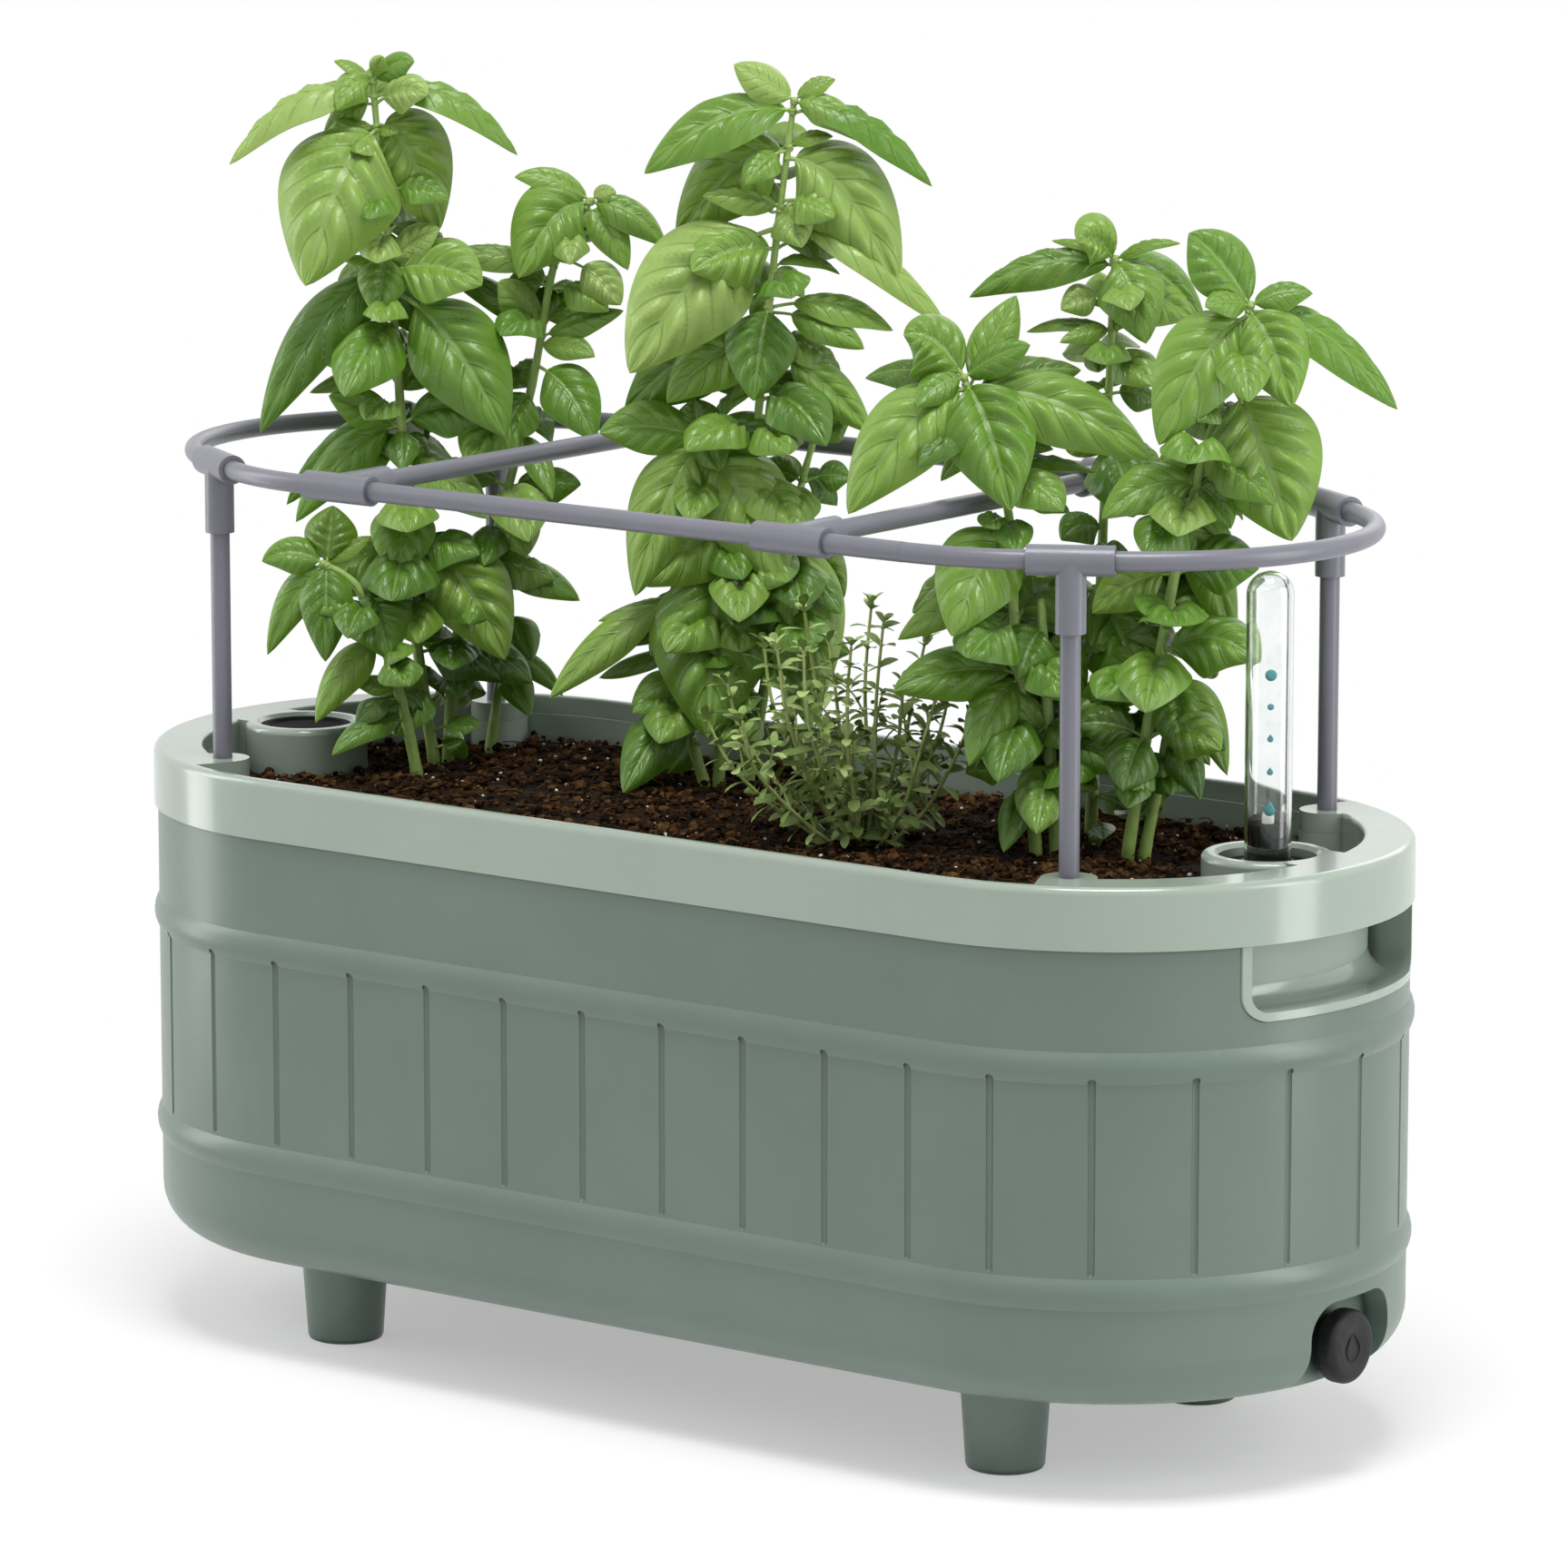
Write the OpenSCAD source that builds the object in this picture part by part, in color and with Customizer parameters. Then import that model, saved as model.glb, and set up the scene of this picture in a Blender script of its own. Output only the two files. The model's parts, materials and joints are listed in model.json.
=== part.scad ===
// Self-watering herb planter: a stadium-shaped water tub, a planting liner that hangs in it,
// a float gauge, a filler, a drain, a push-fit trellis and the herbs that grow in it.
// Millimetres, +Z up, +X towards the gauge end, origin on the floor under the middle of the tub.

/* [Tub] */
// Half of the straight run, from the middle to the centre of an end arc
half_run = 170; // [150:1:220]
// Outer radius of the tub's round ends
tub_r = 120; // [116:1:130]
// Thickness of the tub's wall
tub_wall = 2.8; // [2:0.1:3.4]
// Thickness of the tub's floor
tub_floor = 3; // [2:0.1:5]
// Radius of the tub's lower edge
tub_round = 20; // [12:1:26]
// Height of the tub's shoulder above the floor
shoulder_z = 220; // [212:1:250]
// Height of the neck that locates the liner, above the shoulder
neck_h = 13; // [8:1:14]
// How far the hoops stand out of the tub's wall
hoop_out = 2; // [1:0.1:3]
// Height of a hoop
hoop_h = 12.6; // [8:0.2:14]
// Height of the lower hoop's middle
hoop_low_z = 85.5; // [82:0.5:95]
// Height of the upper hoop's middle
hoop_high_z = 174.5; // [160:0.5:178]

/* [Grooves] */
// Spacing of the upright grooves along the wall
groove_pitch = 40.2; // [25:0.2:60]
// Width of a groove's round cutter
groove_w = 3.2; // [2:0.1:4.5]
// Depth of a groove
groove_depth = 1; // [0.4:0.1:1.4]
// Height of a groove's lower end
groove_low_z = 92.4; // [92:0.2:110]
// Height of a groove's upper end
groove_high_z = 170.8; // [140:0.2:171]

/* [Feet] */
// Height of a foot, which is the tub's height above the floor
foot_h = 38; // [25:1:45]
// Radius of a foot at its top
foot_top_r = 18.2; // [14:0.2:22]
// Radius of a foot on the floor
foot_low_r = 15.8; // [12:0.2:20]
// Distance of a foot from the planter's long centre line
foot_y = 67; // [50:1:75]
// Radius of the peg that holds a foot
peg_r = 5; // [3:0.5:7]
// Length of that peg
peg_h = 8; // [5:0.5:12]

/* [Liner] */
// Thickness of the liner's walls
liner_wall = 2.2; // [1.6:0.1:2.6]
// Space between the liner's wall and the tub's
liner_space = 1; // [0.6:0.1:2]
// Height of the rim above the tub's shoulder
rim_h = 25; // [20:1:35]
// How far the rim band stands out of the tub's wall
rim_out = 1.5; // [0.6:0.1:3]
// Thickness of the rim's skirt
skirt_t = 2.2; // [1.6:0.1:2.4]
// Outer rounding of the rim's top edge
rim_round = 3; // [1:0.2:4]
// Width of the rim's lip along the sides
lip_w = 5.5; // [4.6:0.1:6.5]
// Width of the deck at the round ends
deck_w = 20.5; // [18:0.5:24]
// Thickness of the deck
deck_t = 3; // [2:0.2:5]
// Height of the planting floor
planting_z = 112; // [90:1:130]
// Thickness of the planting floor
planting_t = 2.5; // [2:0.1:4]
// Depth of the soil's surface under the rim's top
soil_drop = 20; // [12:1:30]

/* [Handles] */
// Width of a handle cup
cup_w = 119; // [90:1:130]
// Height of a handle cup under the rim band
cup_h = 30; // [22:1:34]
// Corner radius of a handle cup
cup_corner = 11; // [6:1:14]
// Width of the frame round a handle cup
cup_frame = 3.4; // [2:0.2:6]
// Radius between the back and the floor of a handle cup
cup_round = 8; // [4:1:12]

/* [Wells] */
// Distance of a well's axis from the tub's end
well_in = 44; // [43:0.5:46]
// Outer radius of a well
well_r = 26; // [25:0.5:28]
// Radius of the seat that a lid lies in
seat_r = 19.3; // [18:0.1:20.5]
// Depth of that seat under the rim's top
seat_drop = 8; // [6:0.5:11]
// Radius of the opening under the seat
throat_r = 16.5; // [15:0.1:17]
// Thickness of a lid's plate
lid_t = 3; // [2:0.2:4]
// Depth of the fill cap's top under the rim's top
cap_sink = 1.4; // [0.8:0.2:3]
// Depth of the dish in the fill cap's top
cap_dish = 1.2; // [0.6:0.2:1.6]
// Depth of a lid's plug below its plate
lid_plug = 7; // [4:0.5:10]

/* [Gauge] */
// Outer radius of the clear tube
gauge_r = 9.3; // [8.5:0.1:11]
// Wall of the clear tube
gauge_wall = 1.1; // [0.8:0.1:1.6]
// Height of the clear tube's dome above the rim's top
gauge_rise = 110.5; // [90:0.5:115]
// Height of the ribbed neck above the lid
neck_rise = 16; // [10:0.5:20]
// Radius of the indicator stem
rod_r = 2.4; // [1.6:0.1:3]
// How far the stem shows above the ribbed neck with the reservoir empty
rod_show = 5; // [2:0.5:10]
// Radius of the float
float_r = 14; // [10:0.5:14.5]
// Height of the float
float_h = 26; // [16:1:34]
// Rise of the float from empty to full
float_rise = 53; // [30:1:60]

/* [Drain] */
// Half width of the recess round the drain plug
recess_half = 27; // [22:1:30]
// Height of the recess's top
recess_top = 74; // [68:1:76]
// Radius of the recess's upper corners
recess_corner = 14; // [8:1:18]
// Depth of the recess at the middle of the end
recess_depth = 14; // [12:0.5:16]
// Height of the drain's axis
drain_z = 53; // [52:0.5:56]
// Radius of the drain's bore
drain_r = 9; // [6:0.5:10]
// Length of the bore's boss inside the tub
drain_boss = 8; // [5:0.5:10]
// Radius of the plug's knob
knob_r = 14.8; // [12:0.2:15.5]
// Thickness of the plug's knob
knob_t = 10; // [7:0.5:11]
// Thickness of the flange behind the knob
flange_t = 3; // [2:0.5:4]

/* [Trellis] */
// Diameter of the trellis tube
tube_d = 8; // [6:0.2:9]
// Outer diameter of a tee
tee_d = 12; // [11:0.2:14]
// Length of a tee's sleeve
sleeve_len = 34; // [26:1:40]
// Length of a tee's branch, from the sleeve's axis
branch_len = 28; // [20:1:36]
// Height of the ring's centre line above the rim's top
ring_rise = 122.5; // [120:0.5:200]
// Distance of a leg's axis inside the curve of the tub's end
leg_in = 20; // [19:0.5:22]
// Angle of a leg round the end arc
leg_angle = 63.5; // [60:0.5:68]
// Turn of a leg tee's sleeve from the planter's long side
tee_turn = 30; // [25:1:35]
// Bend radius of the ring between the long side and a leg tee
side_bend = 97; // [60:1:98]
// Distance of the left cross-bar from the middle
bar_left = 131; // [100:1:132]
// Distance of the right cross-bar from the middle
bar_right = 98; // [80:1:132]
// Radius of a leg boss
boss_r = 11; // [8:0.5:12]
// Depth of a leg's socket under the rim's top
socket_depth = 60; // [40:1:90]

/* [Wick cups] */
// Distance of a wick cup from the middle
wick_x = 85; // [60:1:110]
// Radius of a wick cup's opening
wick_top_r = 32; // [24:1:36]
// Radius of a wick cup's foot
wick_low_r = 27; // [20:1:30]
// Height of a wick cup's foot above the tub's floor
wick_lift = 2; // [1:0.5:6]
// Width of a slot in a wick cup
slot_w = 4; // [2:0.5:6]

/* [Herbs] */
// Fullness of the basil's leaves, as a share of their widths
leaf_full = 1; // [0.6:0.05:1.1]
// Thickness of a leaf
leaf_t = 0.9; // [0.6:0.1:1.5]
// Radius of a basil stem at the soil
stem_r = 3; // [2:0.2:4]
// Height of the thyme
thyme_h = 80; // [50:1:100]

/* [Fits] */
// Space between pieces that lift or slide apart
clearance = 0.3; // [0.2:0.05:0.5]
// Radial play of a sliding or push fit
play = 0.05; // [0.02:0.01:0.1]
// Height of the soil's low mounds
mound_h = 1.8; // [0.6:0.1:1.9]
// Space between the soil and the walls round it
soil_space = 0.2; // [0.1:0.05:0.5]

/* [Hidden] */
$fn = 64;

tub_colour = "#7b8b7f";
liner_colour = "#a9b5a8";
trellis_colour = "#7d7c88";
black_colour = "#2b2a2c";

// Tub
tub_in_r = tub_r - tub_wall;
reservoir_z = foot_h + tub_floor;
rim_top = shoulder_z + rim_h;
band_r = tub_r + rim_out;
skirt_in_r = band_r - skirt_t;
tub_neck_r = skirt_in_r - clearance;
hoop_cutter_r = (hoop_h * hoop_h / 4 + hoop_out * hoop_out) / (2 * hoop_out);
groove_angle = groove_pitch / tub_r * 180 / PI;
groove_side_n = floor((half_run - groove_w) / groove_pitch);
groove_end_n = floor(88 / groove_angle);

// Liner
liner_out_r = tub_in_r - liner_space;
liner_in_r = liner_out_r - liner_wall;
lip_in_r = band_r - lip_w;
deck_in_r = band_r - deck_w;
ledge_z = rim_top - 8;
channel_z = ledge_z - 2;
deck_low_z = rim_top - deck_t;
planting_low_z = planting_z - planting_t;
wall_step = 0.05;
step_angle = 0.8;
well_low_z = planting_low_z - 2;
soil_z = rim_top - soil_drop;
end_angle = leg_angle - 1.5;
boss_out_r = sqrt(pow(band_r - rim_round - 0.5, 2) - boss_r * boss_r);

// Handle cups
cup_half = cup_w / 2;
cup_low_z = shoulder_z - cup_h;
cup_face_r = tub_r + rim_out / 2;

// Wells
well_x = half_run + tub_r - well_in;
seat_z = rim_top - seat_drop;
well_in_r = well_r - liner_wall - 1.3;
throat_low_z = seat_z - 3 - (well_in_r - throat_r);
well_foot_z = throat_low_z - 0.5;
lid_low_z = seat_z + clearance;
lid_top_z = lid_low_z + lid_t;
lid_r = seat_r - clearance;
lid_plug_r = throat_r - play;

// Gauge
gauge_in_r = gauge_r - gauge_wall;
gauge_top_z = rim_top + gauge_rise;
neck_top_z = lid_top_z + neck_rise;
float_low_z = reservoir_z + 3;
rod_top_z = neck_top_z + rod_show;
rod_stop_z = lid_low_z - 1 - clearance - float_rise;

// Drain
recess_x = half_run + tub_r - recess_depth;
drain_low_x = recess_x - tub_wall - drain_boss;
flange_x = recess_x + clearance;
knob_x = flange_x + flange_t;
plug_low_x = drain_low_x + 1;

// Trellis
tube_r = tube_d / 2;
tee_r = tee_d / 2;
tube_stop = 1;
tube_step = 0.08;
tube_lap = 0.8;
sleeve_half = sleeve_len / 2;
ring_z = rim_top + ring_rise;
leg_out = tub_r - leg_in;
leg_x = half_run + leg_out * cos(leg_angle);
leg_y = leg_out * sin(leg_angle);
sleeve_x = leg_x - sleeve_half * cos(tee_turn);
sleeve_y = leg_y + sleeve_half * sin(tee_turn);
ring_y = sleeve_y + side_bend * (1 - cos(tee_turn));
bend_x = sleeve_x - side_bend * sin(tee_turn);
end_bend = (leg_y - sleeve_half * sin(tee_turn)) / cos(tee_turn);
end_bend_x = leg_x + sleeve_half * cos(tee_turn) - end_bend * sin(tee_turn);
leg_low_z = rim_top - socket_depth + 1;
leg_top_z = ring_z - tube_r - 2;

// Wick cups
wick_low_z = reservoir_z + wick_lift;

// Sweeps a profile, drawn as radius and height, round the whole stadium plan.
module stadium_sweep() {
    for (turn = [0, 180])
        rotate([0, 0, turn]) {
            translate([half_run, 0, 0])
                rotate([0, 0, -90])
                    rotate_extrude(angle = 180)
                        children();
            straight_sweep()
                children();
        }
}

// Sweeps a profile along the straight run of the front side.
module straight_sweep() {
    translate([half_run, 0, 0])
        rotate([90, 0, -90])
            linear_extrude(2 * half_run)
                children();
}

// Revolves a profile round the centre of the right end arc, between two angles.
module end_sweep(from, to) {
    translate([half_run, 0, 0])
        rotate([0, 0, from])
            rotate_extrude(angle = to - from)
                children();
}

// Extrudes an outline, drawn as Y and Z, along X.
module along_x(from, to) {
    translate([from, 0, 0])
        rotate([90, 0, 90])
            linear_extrude(to - from)
                children();
}

module stadium(r) {
    for (side = [-1, 1])
        translate([side * half_run, 0])
            circle(r);
    square([2 * half_run, 2 * r], center = true);
}

// A rectangle between two corners.
module box2(low, high) {
    translate(low)
        square(high - low);
}

// A quarter of a disc, for a rounded edge.
module quarter(r) {
    intersection() {
        circle(r);
        square(r);
    }
}

// Both halves of something that stands at the right end.
module both_ends() {
    for (turn = [0, 180])
        rotate([0, 0, turn])
            children();
}

// Places the front right piece in one of the four corners.
module corner(side, depth) {
    mirror([side < 0 ? 1 : 0, 0, 0])
        mirror([0, depth > 0 ? 1 : 0, 0])
            children();
}

// Half of the tub's section, filled, with its round lower edge and its hoops.
module tub_outline() {
    box2([0, foot_h + tub_round], [tub_r, shoulder_z]);
    box2([0, foot_h], [tub_r - tub_round, foot_h + tub_round]);
    translate([tub_r - tub_round, foot_h + tub_round])
        circle(tub_round);
    for (z = [hoop_low_z, hoop_high_z])
        translate([tub_r + hoop_out - hoop_cutter_r, z])
            circle(hoop_cutter_r);
    box2([0, shoulder_z], [tub_neck_r, shoulder_z + neck_h]);
}

module tub_hollow() {
    inner_round = tub_round - tub_wall;
    box2([0, reservoir_z + inner_round], [tub_in_r, rim_top]);
    box2([0, reservoir_z], [tub_in_r - inner_round, reservoir_z + inner_round]);
    translate([tub_in_r - inner_round, reservoir_z + inner_round])
        circle(inner_round);
}

// Upright with round lower corners, drawn as Y and Z: a handle cup or its notch.
module cup_outline(grow) {
    half = cup_half + grow;
    low = cup_low_z - grow;
    corner_r = cup_corner + grow;
    box2([-half, low + corner_r], [half, rim_top + 1]);
    box2([-half + corner_r, low], [half - corner_r, low + corner_r]);
    for (side = [-1, 1])
        translate([side * (half - corner_r), low + corner_r])
            circle(corner_r);
}

// Arch of the drain's recess, drawn as Y and Z.
module recess_outline(grow) {
    half = recess_half + grow;
    top = recess_top + grow;
    corner_r = recess_corner + grow;
    box2([-half, foot_h - 1], [half, top - corner_r]);
    box2([-half + corner_r, top - corner_r], [half - corner_r, top]);
    for (side = [-1, 1])
        translate([side * (half - corner_r), top - corner_r])
            circle(corner_r);
}

module groove() {
    r = groove_w / 2;
    translate([tub_r + r - groove_depth, 0, groove_low_z + r]) {
        cylinder(r = r, h = groove_high_z - groove_low_z - groove_w);
        sphere(r);
        translate([0, 0, groove_high_z - groove_low_z - groove_w])
            sphere(r);
    }
}

module grooves() {
    both_ends() {
        for (i = [-groove_side_n : groove_side_n])
            translate([i * groove_pitch, 0, 0])
                rotate([0, 0, -90])
                    groove();
        for (i = [-groove_end_n : groove_end_n])
            translate([half_run, 0, 0])
                rotate([0, 0, i * groove_angle])
                    groove();
    }
}

module foot_place(side, depth) {
    translate([side * half_run, depth * foot_y, 0])
        children();
}

module outer_tub() {
    color(tub_colour)
        difference() {
            union() {
                difference() {
                    stadium_sweep()
                        tub_outline();
                    stadium_sweep()
                        tub_hollow();
                }
                intersection() {
                    along_x(recess_x - tub_wall, half_run + tub_r)
                        recess_outline(tub_wall);
                    end_sweep(-60, 60)
                        tub_outline();
                }
                translate([drain_low_x, 0, drain_z])
                    rotate([0, 90, 0])
                        cylinder(r = drain_r + 3, h = drain_boss + tub_wall / 2);
                for (side = [-1, 1], depth = [-1, 1])
                    foot_place(side, depth)
                        translate([0, 0, reservoir_z - tub_floor / 2])
                            cylinder(r = peg_r + 3, h = tub_floor / 2 + peg_h);
            }
            both_ends()
                along_x(half_run + 20, half_run + band_r + 5)
                    cup_outline(clearance);
            along_x(recess_x, half_run + band_r + 5)
                recess_outline(0);
            translate([drain_low_x - 1, 0, drain_z])
                rotate([0, 90, 0])
                    cylinder(r = drain_r, h = drain_boss + tub_wall + 2);
            for (side = [-1, 1], depth = [-1, 1])
                foot_place(side, depth)
                    translate([0, 0, foot_h - 1])
                        cylinder(r = peg_r + play, h = peg_h + 1.5);
            grooves();
        }
}

module foot(side, depth) {
    edge = 2;
    color(tub_colour)
        foot_place(side, depth) {
            rotate_extrude()
                polygon([
                    [0, 0],
                    [foot_low_r - edge, 0],
                    [foot_low_r - edge * 0.3, edge * 0.3],
                    [foot_low_r, edge],
                    [foot_top_r, foot_h],
                    [0, foot_h]
                ]);
            translate([0, 0, foot_h])
                cylinder(r = peg_r, h = peg_h - 0.5);
        }
}

module drain_plug() {
    edge = 3.5;
    color(black_colour)
        translate([0, 0, drain_z])
            rotate([0, 90, 0]) {
                translate([0, 0, plug_low_x])
                    cylinder(r = drain_r - play, h = flange_x - plug_low_x);
                translate([0, 0, flange_x])
                    cylinder(r = drain_r + 2.5, h = flange_t);
                translate([0, 0, knob_x])
                    rotate_extrude()
                        difference() {
                            union() {
                                box2([0, 0], [knob_r - edge, knob_t]);
                                box2([0, edge], [knob_r, knob_t - edge]);
                                for (z = [edge, knob_t - edge])
                                    translate([knob_r - edge, z])
                                        circle(edge);
                            }
                            translate([0, knob_t + 39])
                                circle(40);
                        }
            }
}

// Rim band, skirt and lip, drawn as radius and height.
module rim_section() {
    difference() {
        union() {
            box2([lip_in_r, shoulder_z + clearance], [band_r, rim_top - rim_round]);
            box2([lip_in_r + 1, rim_top - rim_round], [band_r - rim_round, rim_top]);
            translate([band_r - rim_round, rim_top - rim_round])
                quarter(rim_round);
            box2([lip_in_r, rim_top - rim_round], [lip_in_r + 1, rim_top - 1]);
            translate([lip_in_r + 1, rim_top - 1])
                rotate(90)
                    quarter(1);
        }
        box2([lip_in_r - 1, shoulder_z], [skirt_in_r, channel_z]);
    }
}

// Deck at a round end, with the top of the wall under it.
module deck_section() {
    edge = 1.5;
    box2([deck_in_r + edge, deck_low_z], [lip_in_r + 2, rim_top]);
    box2([deck_in_r, deck_low_z], [deck_in_r + edge, rim_top - edge]);
    translate([deck_in_r + edge, rim_top - edge])
        rotate(90)
            quarter(edge);
    box2([deck_in_r + wall_step, ledge_z + wall_step], [deck_in_r + liner_wall - wall_step, deck_low_z + 1]);
}

// Plan of the space inside the liner's walls, drawn in at the round ends between two angles.
module liner_outline(side_r, end_r, angle) {
    difference() {
        stadium(side_r);
        both_ends()
            translate([half_run, 0])
                difference() {
                    polygon([[0, 0], for (a = [-angle, 0, angle]) 3 * tub_r * [cos(a), sin(a)]]);
                    circle(end_r);
                }
    }
}

// The space of a handle cup, between its back and the planter's outside.
module cup_space(back_r, round_r, low_z) {
    box2([back_r, low_z + round_r], [band_r + 5, rim_top]);
    box2([back_r + round_r, low_z], [band_r + 5, low_z + round_r]);
    translate([back_r + round_r, low_z + round_r])
        circle(round_r);
}

// Frame and floor of a handle cup, which stand against the liner's end wall under the rim.
module handle_cup(side) {
    back_r = deck_in_r + liner_wall + wall_step;
    top_z = shoulder_z + clearance - wall_step;
    side_t = cup_frame - 4 * wall_step;
    color(liner_colour)
        rotate([0, 0, side > 0 ? 0 : 180]) {
            intersection() {
                along_x(half_run + 20, half_run + band_r + 5)
                    cup_outline(0);
                difference() {
                    end_sweep(-50, 50)
                        box2([back_r, cup_low_z - 1], [cup_face_r, top_z]);
                    intersection() {
                        along_x(half_run + 20, half_run + band_r + 9)
                            cup_outline(-cup_frame);
                        end_sweep(-55, 55)
                            cup_space(deck_in_r + liner_wall, cup_round, cup_low_z + cup_frame);
                    }
                }
            }
            // The frame's sides carry on up behind the rim's skirt.
            for (depth = [-1, 1])
                intersection() {
                    translate([half_run + 20, depth * (cup_half - cup_frame / 2) - side_t / 2, shoulder_z - 1])
                        cube([band_r, side_t, channel_z - wall_step - shoulder_z + 1]);
                    end_sweep(-55, 55)
                        box2([back_r + 2 * wall_step, shoulder_z - 1], [skirt_in_r - wall_step, rim_top]);
                }
        }
}

// Round boss of a leg, with its flat sides run out to a radius.
module boss_outline(out_r, grow) {
    translate([half_run, 0])
        rotate(-leg_angle) {
            translate([leg_out, 0])
                circle(boss_r + grow);
            translate([leg_out, -boss_r - grow])
                square([out_r - leg_out, 2 * (boss_r + grow)]);
        }
}

module bosses(out_r, grow) {
    for (side = [-1, 1], depth = [-1, 1])
        corner(side, depth)
            boss_outline(out_r, grow);
}

// Round well with the web that joins it to the end wall.
module well_outline(grow) {
    translate([well_x, 0])
        circle(well_r + grow);
    translate([well_x, -well_r * 0.62 - grow])
        square([half_run + deck_in_r + 1 - well_x, 2 * (well_r * 0.62 + grow)]);
}

// The same plan, ended just short of the end wall.
module well_plan() {
    intersection() {
        well_outline(0);
        translate([half_run, 0])
            circle(deck_in_r - wall_step);
    }
}

module well_body() {
    edge = 2.5;
    translate([0, 0, well_foot_z])
        linear_extrude(rim_top - edge - well_foot_z)
            well_plan();
    translate([well_x, 0, 0])
        rotate_extrude() {
            box2([0, rim_top - edge], [well_r - edge, rim_top]);
            translate([well_r - edge, rim_top - edge])
                circle(edge);
        }
    translate([well_x, -well_r * 0.62, rim_top - deck_t])
        cube([half_run + deck_in_r + 2 - well_x, 2 * well_r * 0.62, deck_t]);
}

// What is taken out of a well: the seat with its bevel, the throat and the shaft.
module well_space() {
    bevel = 1.6;
    translate([well_x, 0, 0])
        rotate_extrude()
            polygon([
                [0, well_low_z - 1],
                [well_in_r, well_low_z - 1],
                [well_in_r, throat_low_z],
                [throat_r, seat_z - 3],
                [throat_r, seat_z],
                [seat_r, seat_z],
                [seat_r, rim_top - bevel],
                [seat_r + bevel, rim_top],
                [seat_r + bevel, rim_top + 1],
                [0, rim_top + 1]
            ]);
}

// Shaft under a well: a tube with a flat web, which stands on the planting floor over its round opening.
module well_shaft(side) {
    low_z = planting_z + wall_step;
    color(liner_colour)
        rotate([0, 0, side > 0 ? 0 : 180])
            translate([0, 0, low_z])
                linear_extrude(well_foot_z - wall_step - low_z)
                    difference() {
                        well_plan();
                        translate([well_x, 0])
                            circle(well_in_r);
                    }
}

module wick_cup() {
    translate([0, 0, wick_low_z])
        cylinder(r1 = wick_low_r, r2 = wick_top_r, h = planting_low_z + 1 - wick_low_z);
}

module wick_space() {
    translate([0, 0, wick_low_z + liner_wall])
        cylinder(r1 = wick_low_r - liner_wall, r2 = wick_top_r - liner_wall,
                 h = planting_z + 1 - wick_low_z - liner_wall);
}

module wick_slots() {
    for (turn = [0 : 45 : 135])
        rotate([0, 0, turn])
            translate([-wick_top_r - 5, -slot_w / 2, wick_low_z + 8])
                cube([2 * wick_top_r + 10, slot_w, (planting_low_z - wick_low_z) * 0.55]);
}

// Floor and walls of the liner, drawn in under the decks. The top of the wall stands inside the rim's lip.
module liner_walls() {
    difference() {
        union() {
            translate([0, 0, planting_low_z])
                linear_extrude(channel_z - wall_step - planting_low_z)
                    liner_outline(liner_out_r, deck_in_r + liner_wall, end_angle - step_angle);
            translate([0, 0, planting_low_z])
                linear_extrude(ledge_z - planting_low_z)
                    liner_outline(lip_in_r - wall_step, deck_in_r + liner_wall - wall_step, end_angle - 2 * step_angle);
        }
        translate([0, 0, planting_z])
            linear_extrude(rim_top - planting_z)
                liner_outline(liner_in_r, deck_in_r, end_angle + step_angle);
    }
}

module leg_sockets() {
    for (side = [-1, 1], depth = [-1, 1])
        translate([side * leg_x, depth * leg_y, rim_top - socket_depth])
            cylinder(r = tube_r + play, h = socket_depth + 1);
}

// Rim of the liner: the band with its lip, the end decks, the tops of the leg bosses and the well rings.
module liner_rim() {
    color(liner_colour)
        difference() {
            union() {
                stadium_sweep()
                    rim_section();
                both_ends() {
                    end_sweep(-end_angle, end_angle)
                        deck_section();
                    well_body();
                }
                translate([0, 0, ledge_z + wall_step])
                    linear_extrude(rim_top - ledge_z - wall_step)
                        bosses(boss_out_r, 0);
            }
            both_ends()
                well_space();
            leg_sockets();
        }
}

module inner_liner() {
    color(liner_colour)
        difference() {
            union() {
                liner_walls();
                translate([0, 0, planting_low_z + planting_t / 2])
                    linear_extrude(ledge_z - wall_step - planting_low_z - planting_t / 2)
                        bosses(liner_out_r - 1, 0);
                for (side = [-1, 1])
                    translate([side * wick_x, 0, 0])
                        wick_cup();
            }
            both_ends()
                well_space();
            for (side = [-1, 1])
                translate([side * wick_x, 0, 0]) {
                    wick_space();
                    wick_slots();
                }
            leg_sockets();
        }
}

// Plate and plug of a lid that lies in a well's seat.
module lid_body(top_z) {
    edge = 0.8;
    rotate_extrude()
        polygon([
            [0, lid_low_z],
            [lid_r, lid_low_z],
            [lid_r, top_z - edge],
            [lid_r - edge, top_z],
            [0, top_z]
        ]);
    translate([0, 0, lid_low_z - lid_plug])
        cylinder(r = lid_plug_r, h = lid_plug + 0.5);
}

module fill_cap() {
    rim_w = 2.6;
    top_z = rim_top - cap_sink;
    color(black_colour)
        translate([-well_x, 0, 0])
            difference() {
                lid_body(top_z);
                translate([0, 0, top_z - cap_dish])
                    cylinder(r1 = lid_r - rim_w - cap_dish, r2 = lid_r - rim_w, h = cap_dish + 0.01);
                translate([0, 0, lid_low_z - lid_plug - 1])
                    cylinder(r = lid_plug_r - 2, h = lid_plug);
            }
}

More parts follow.
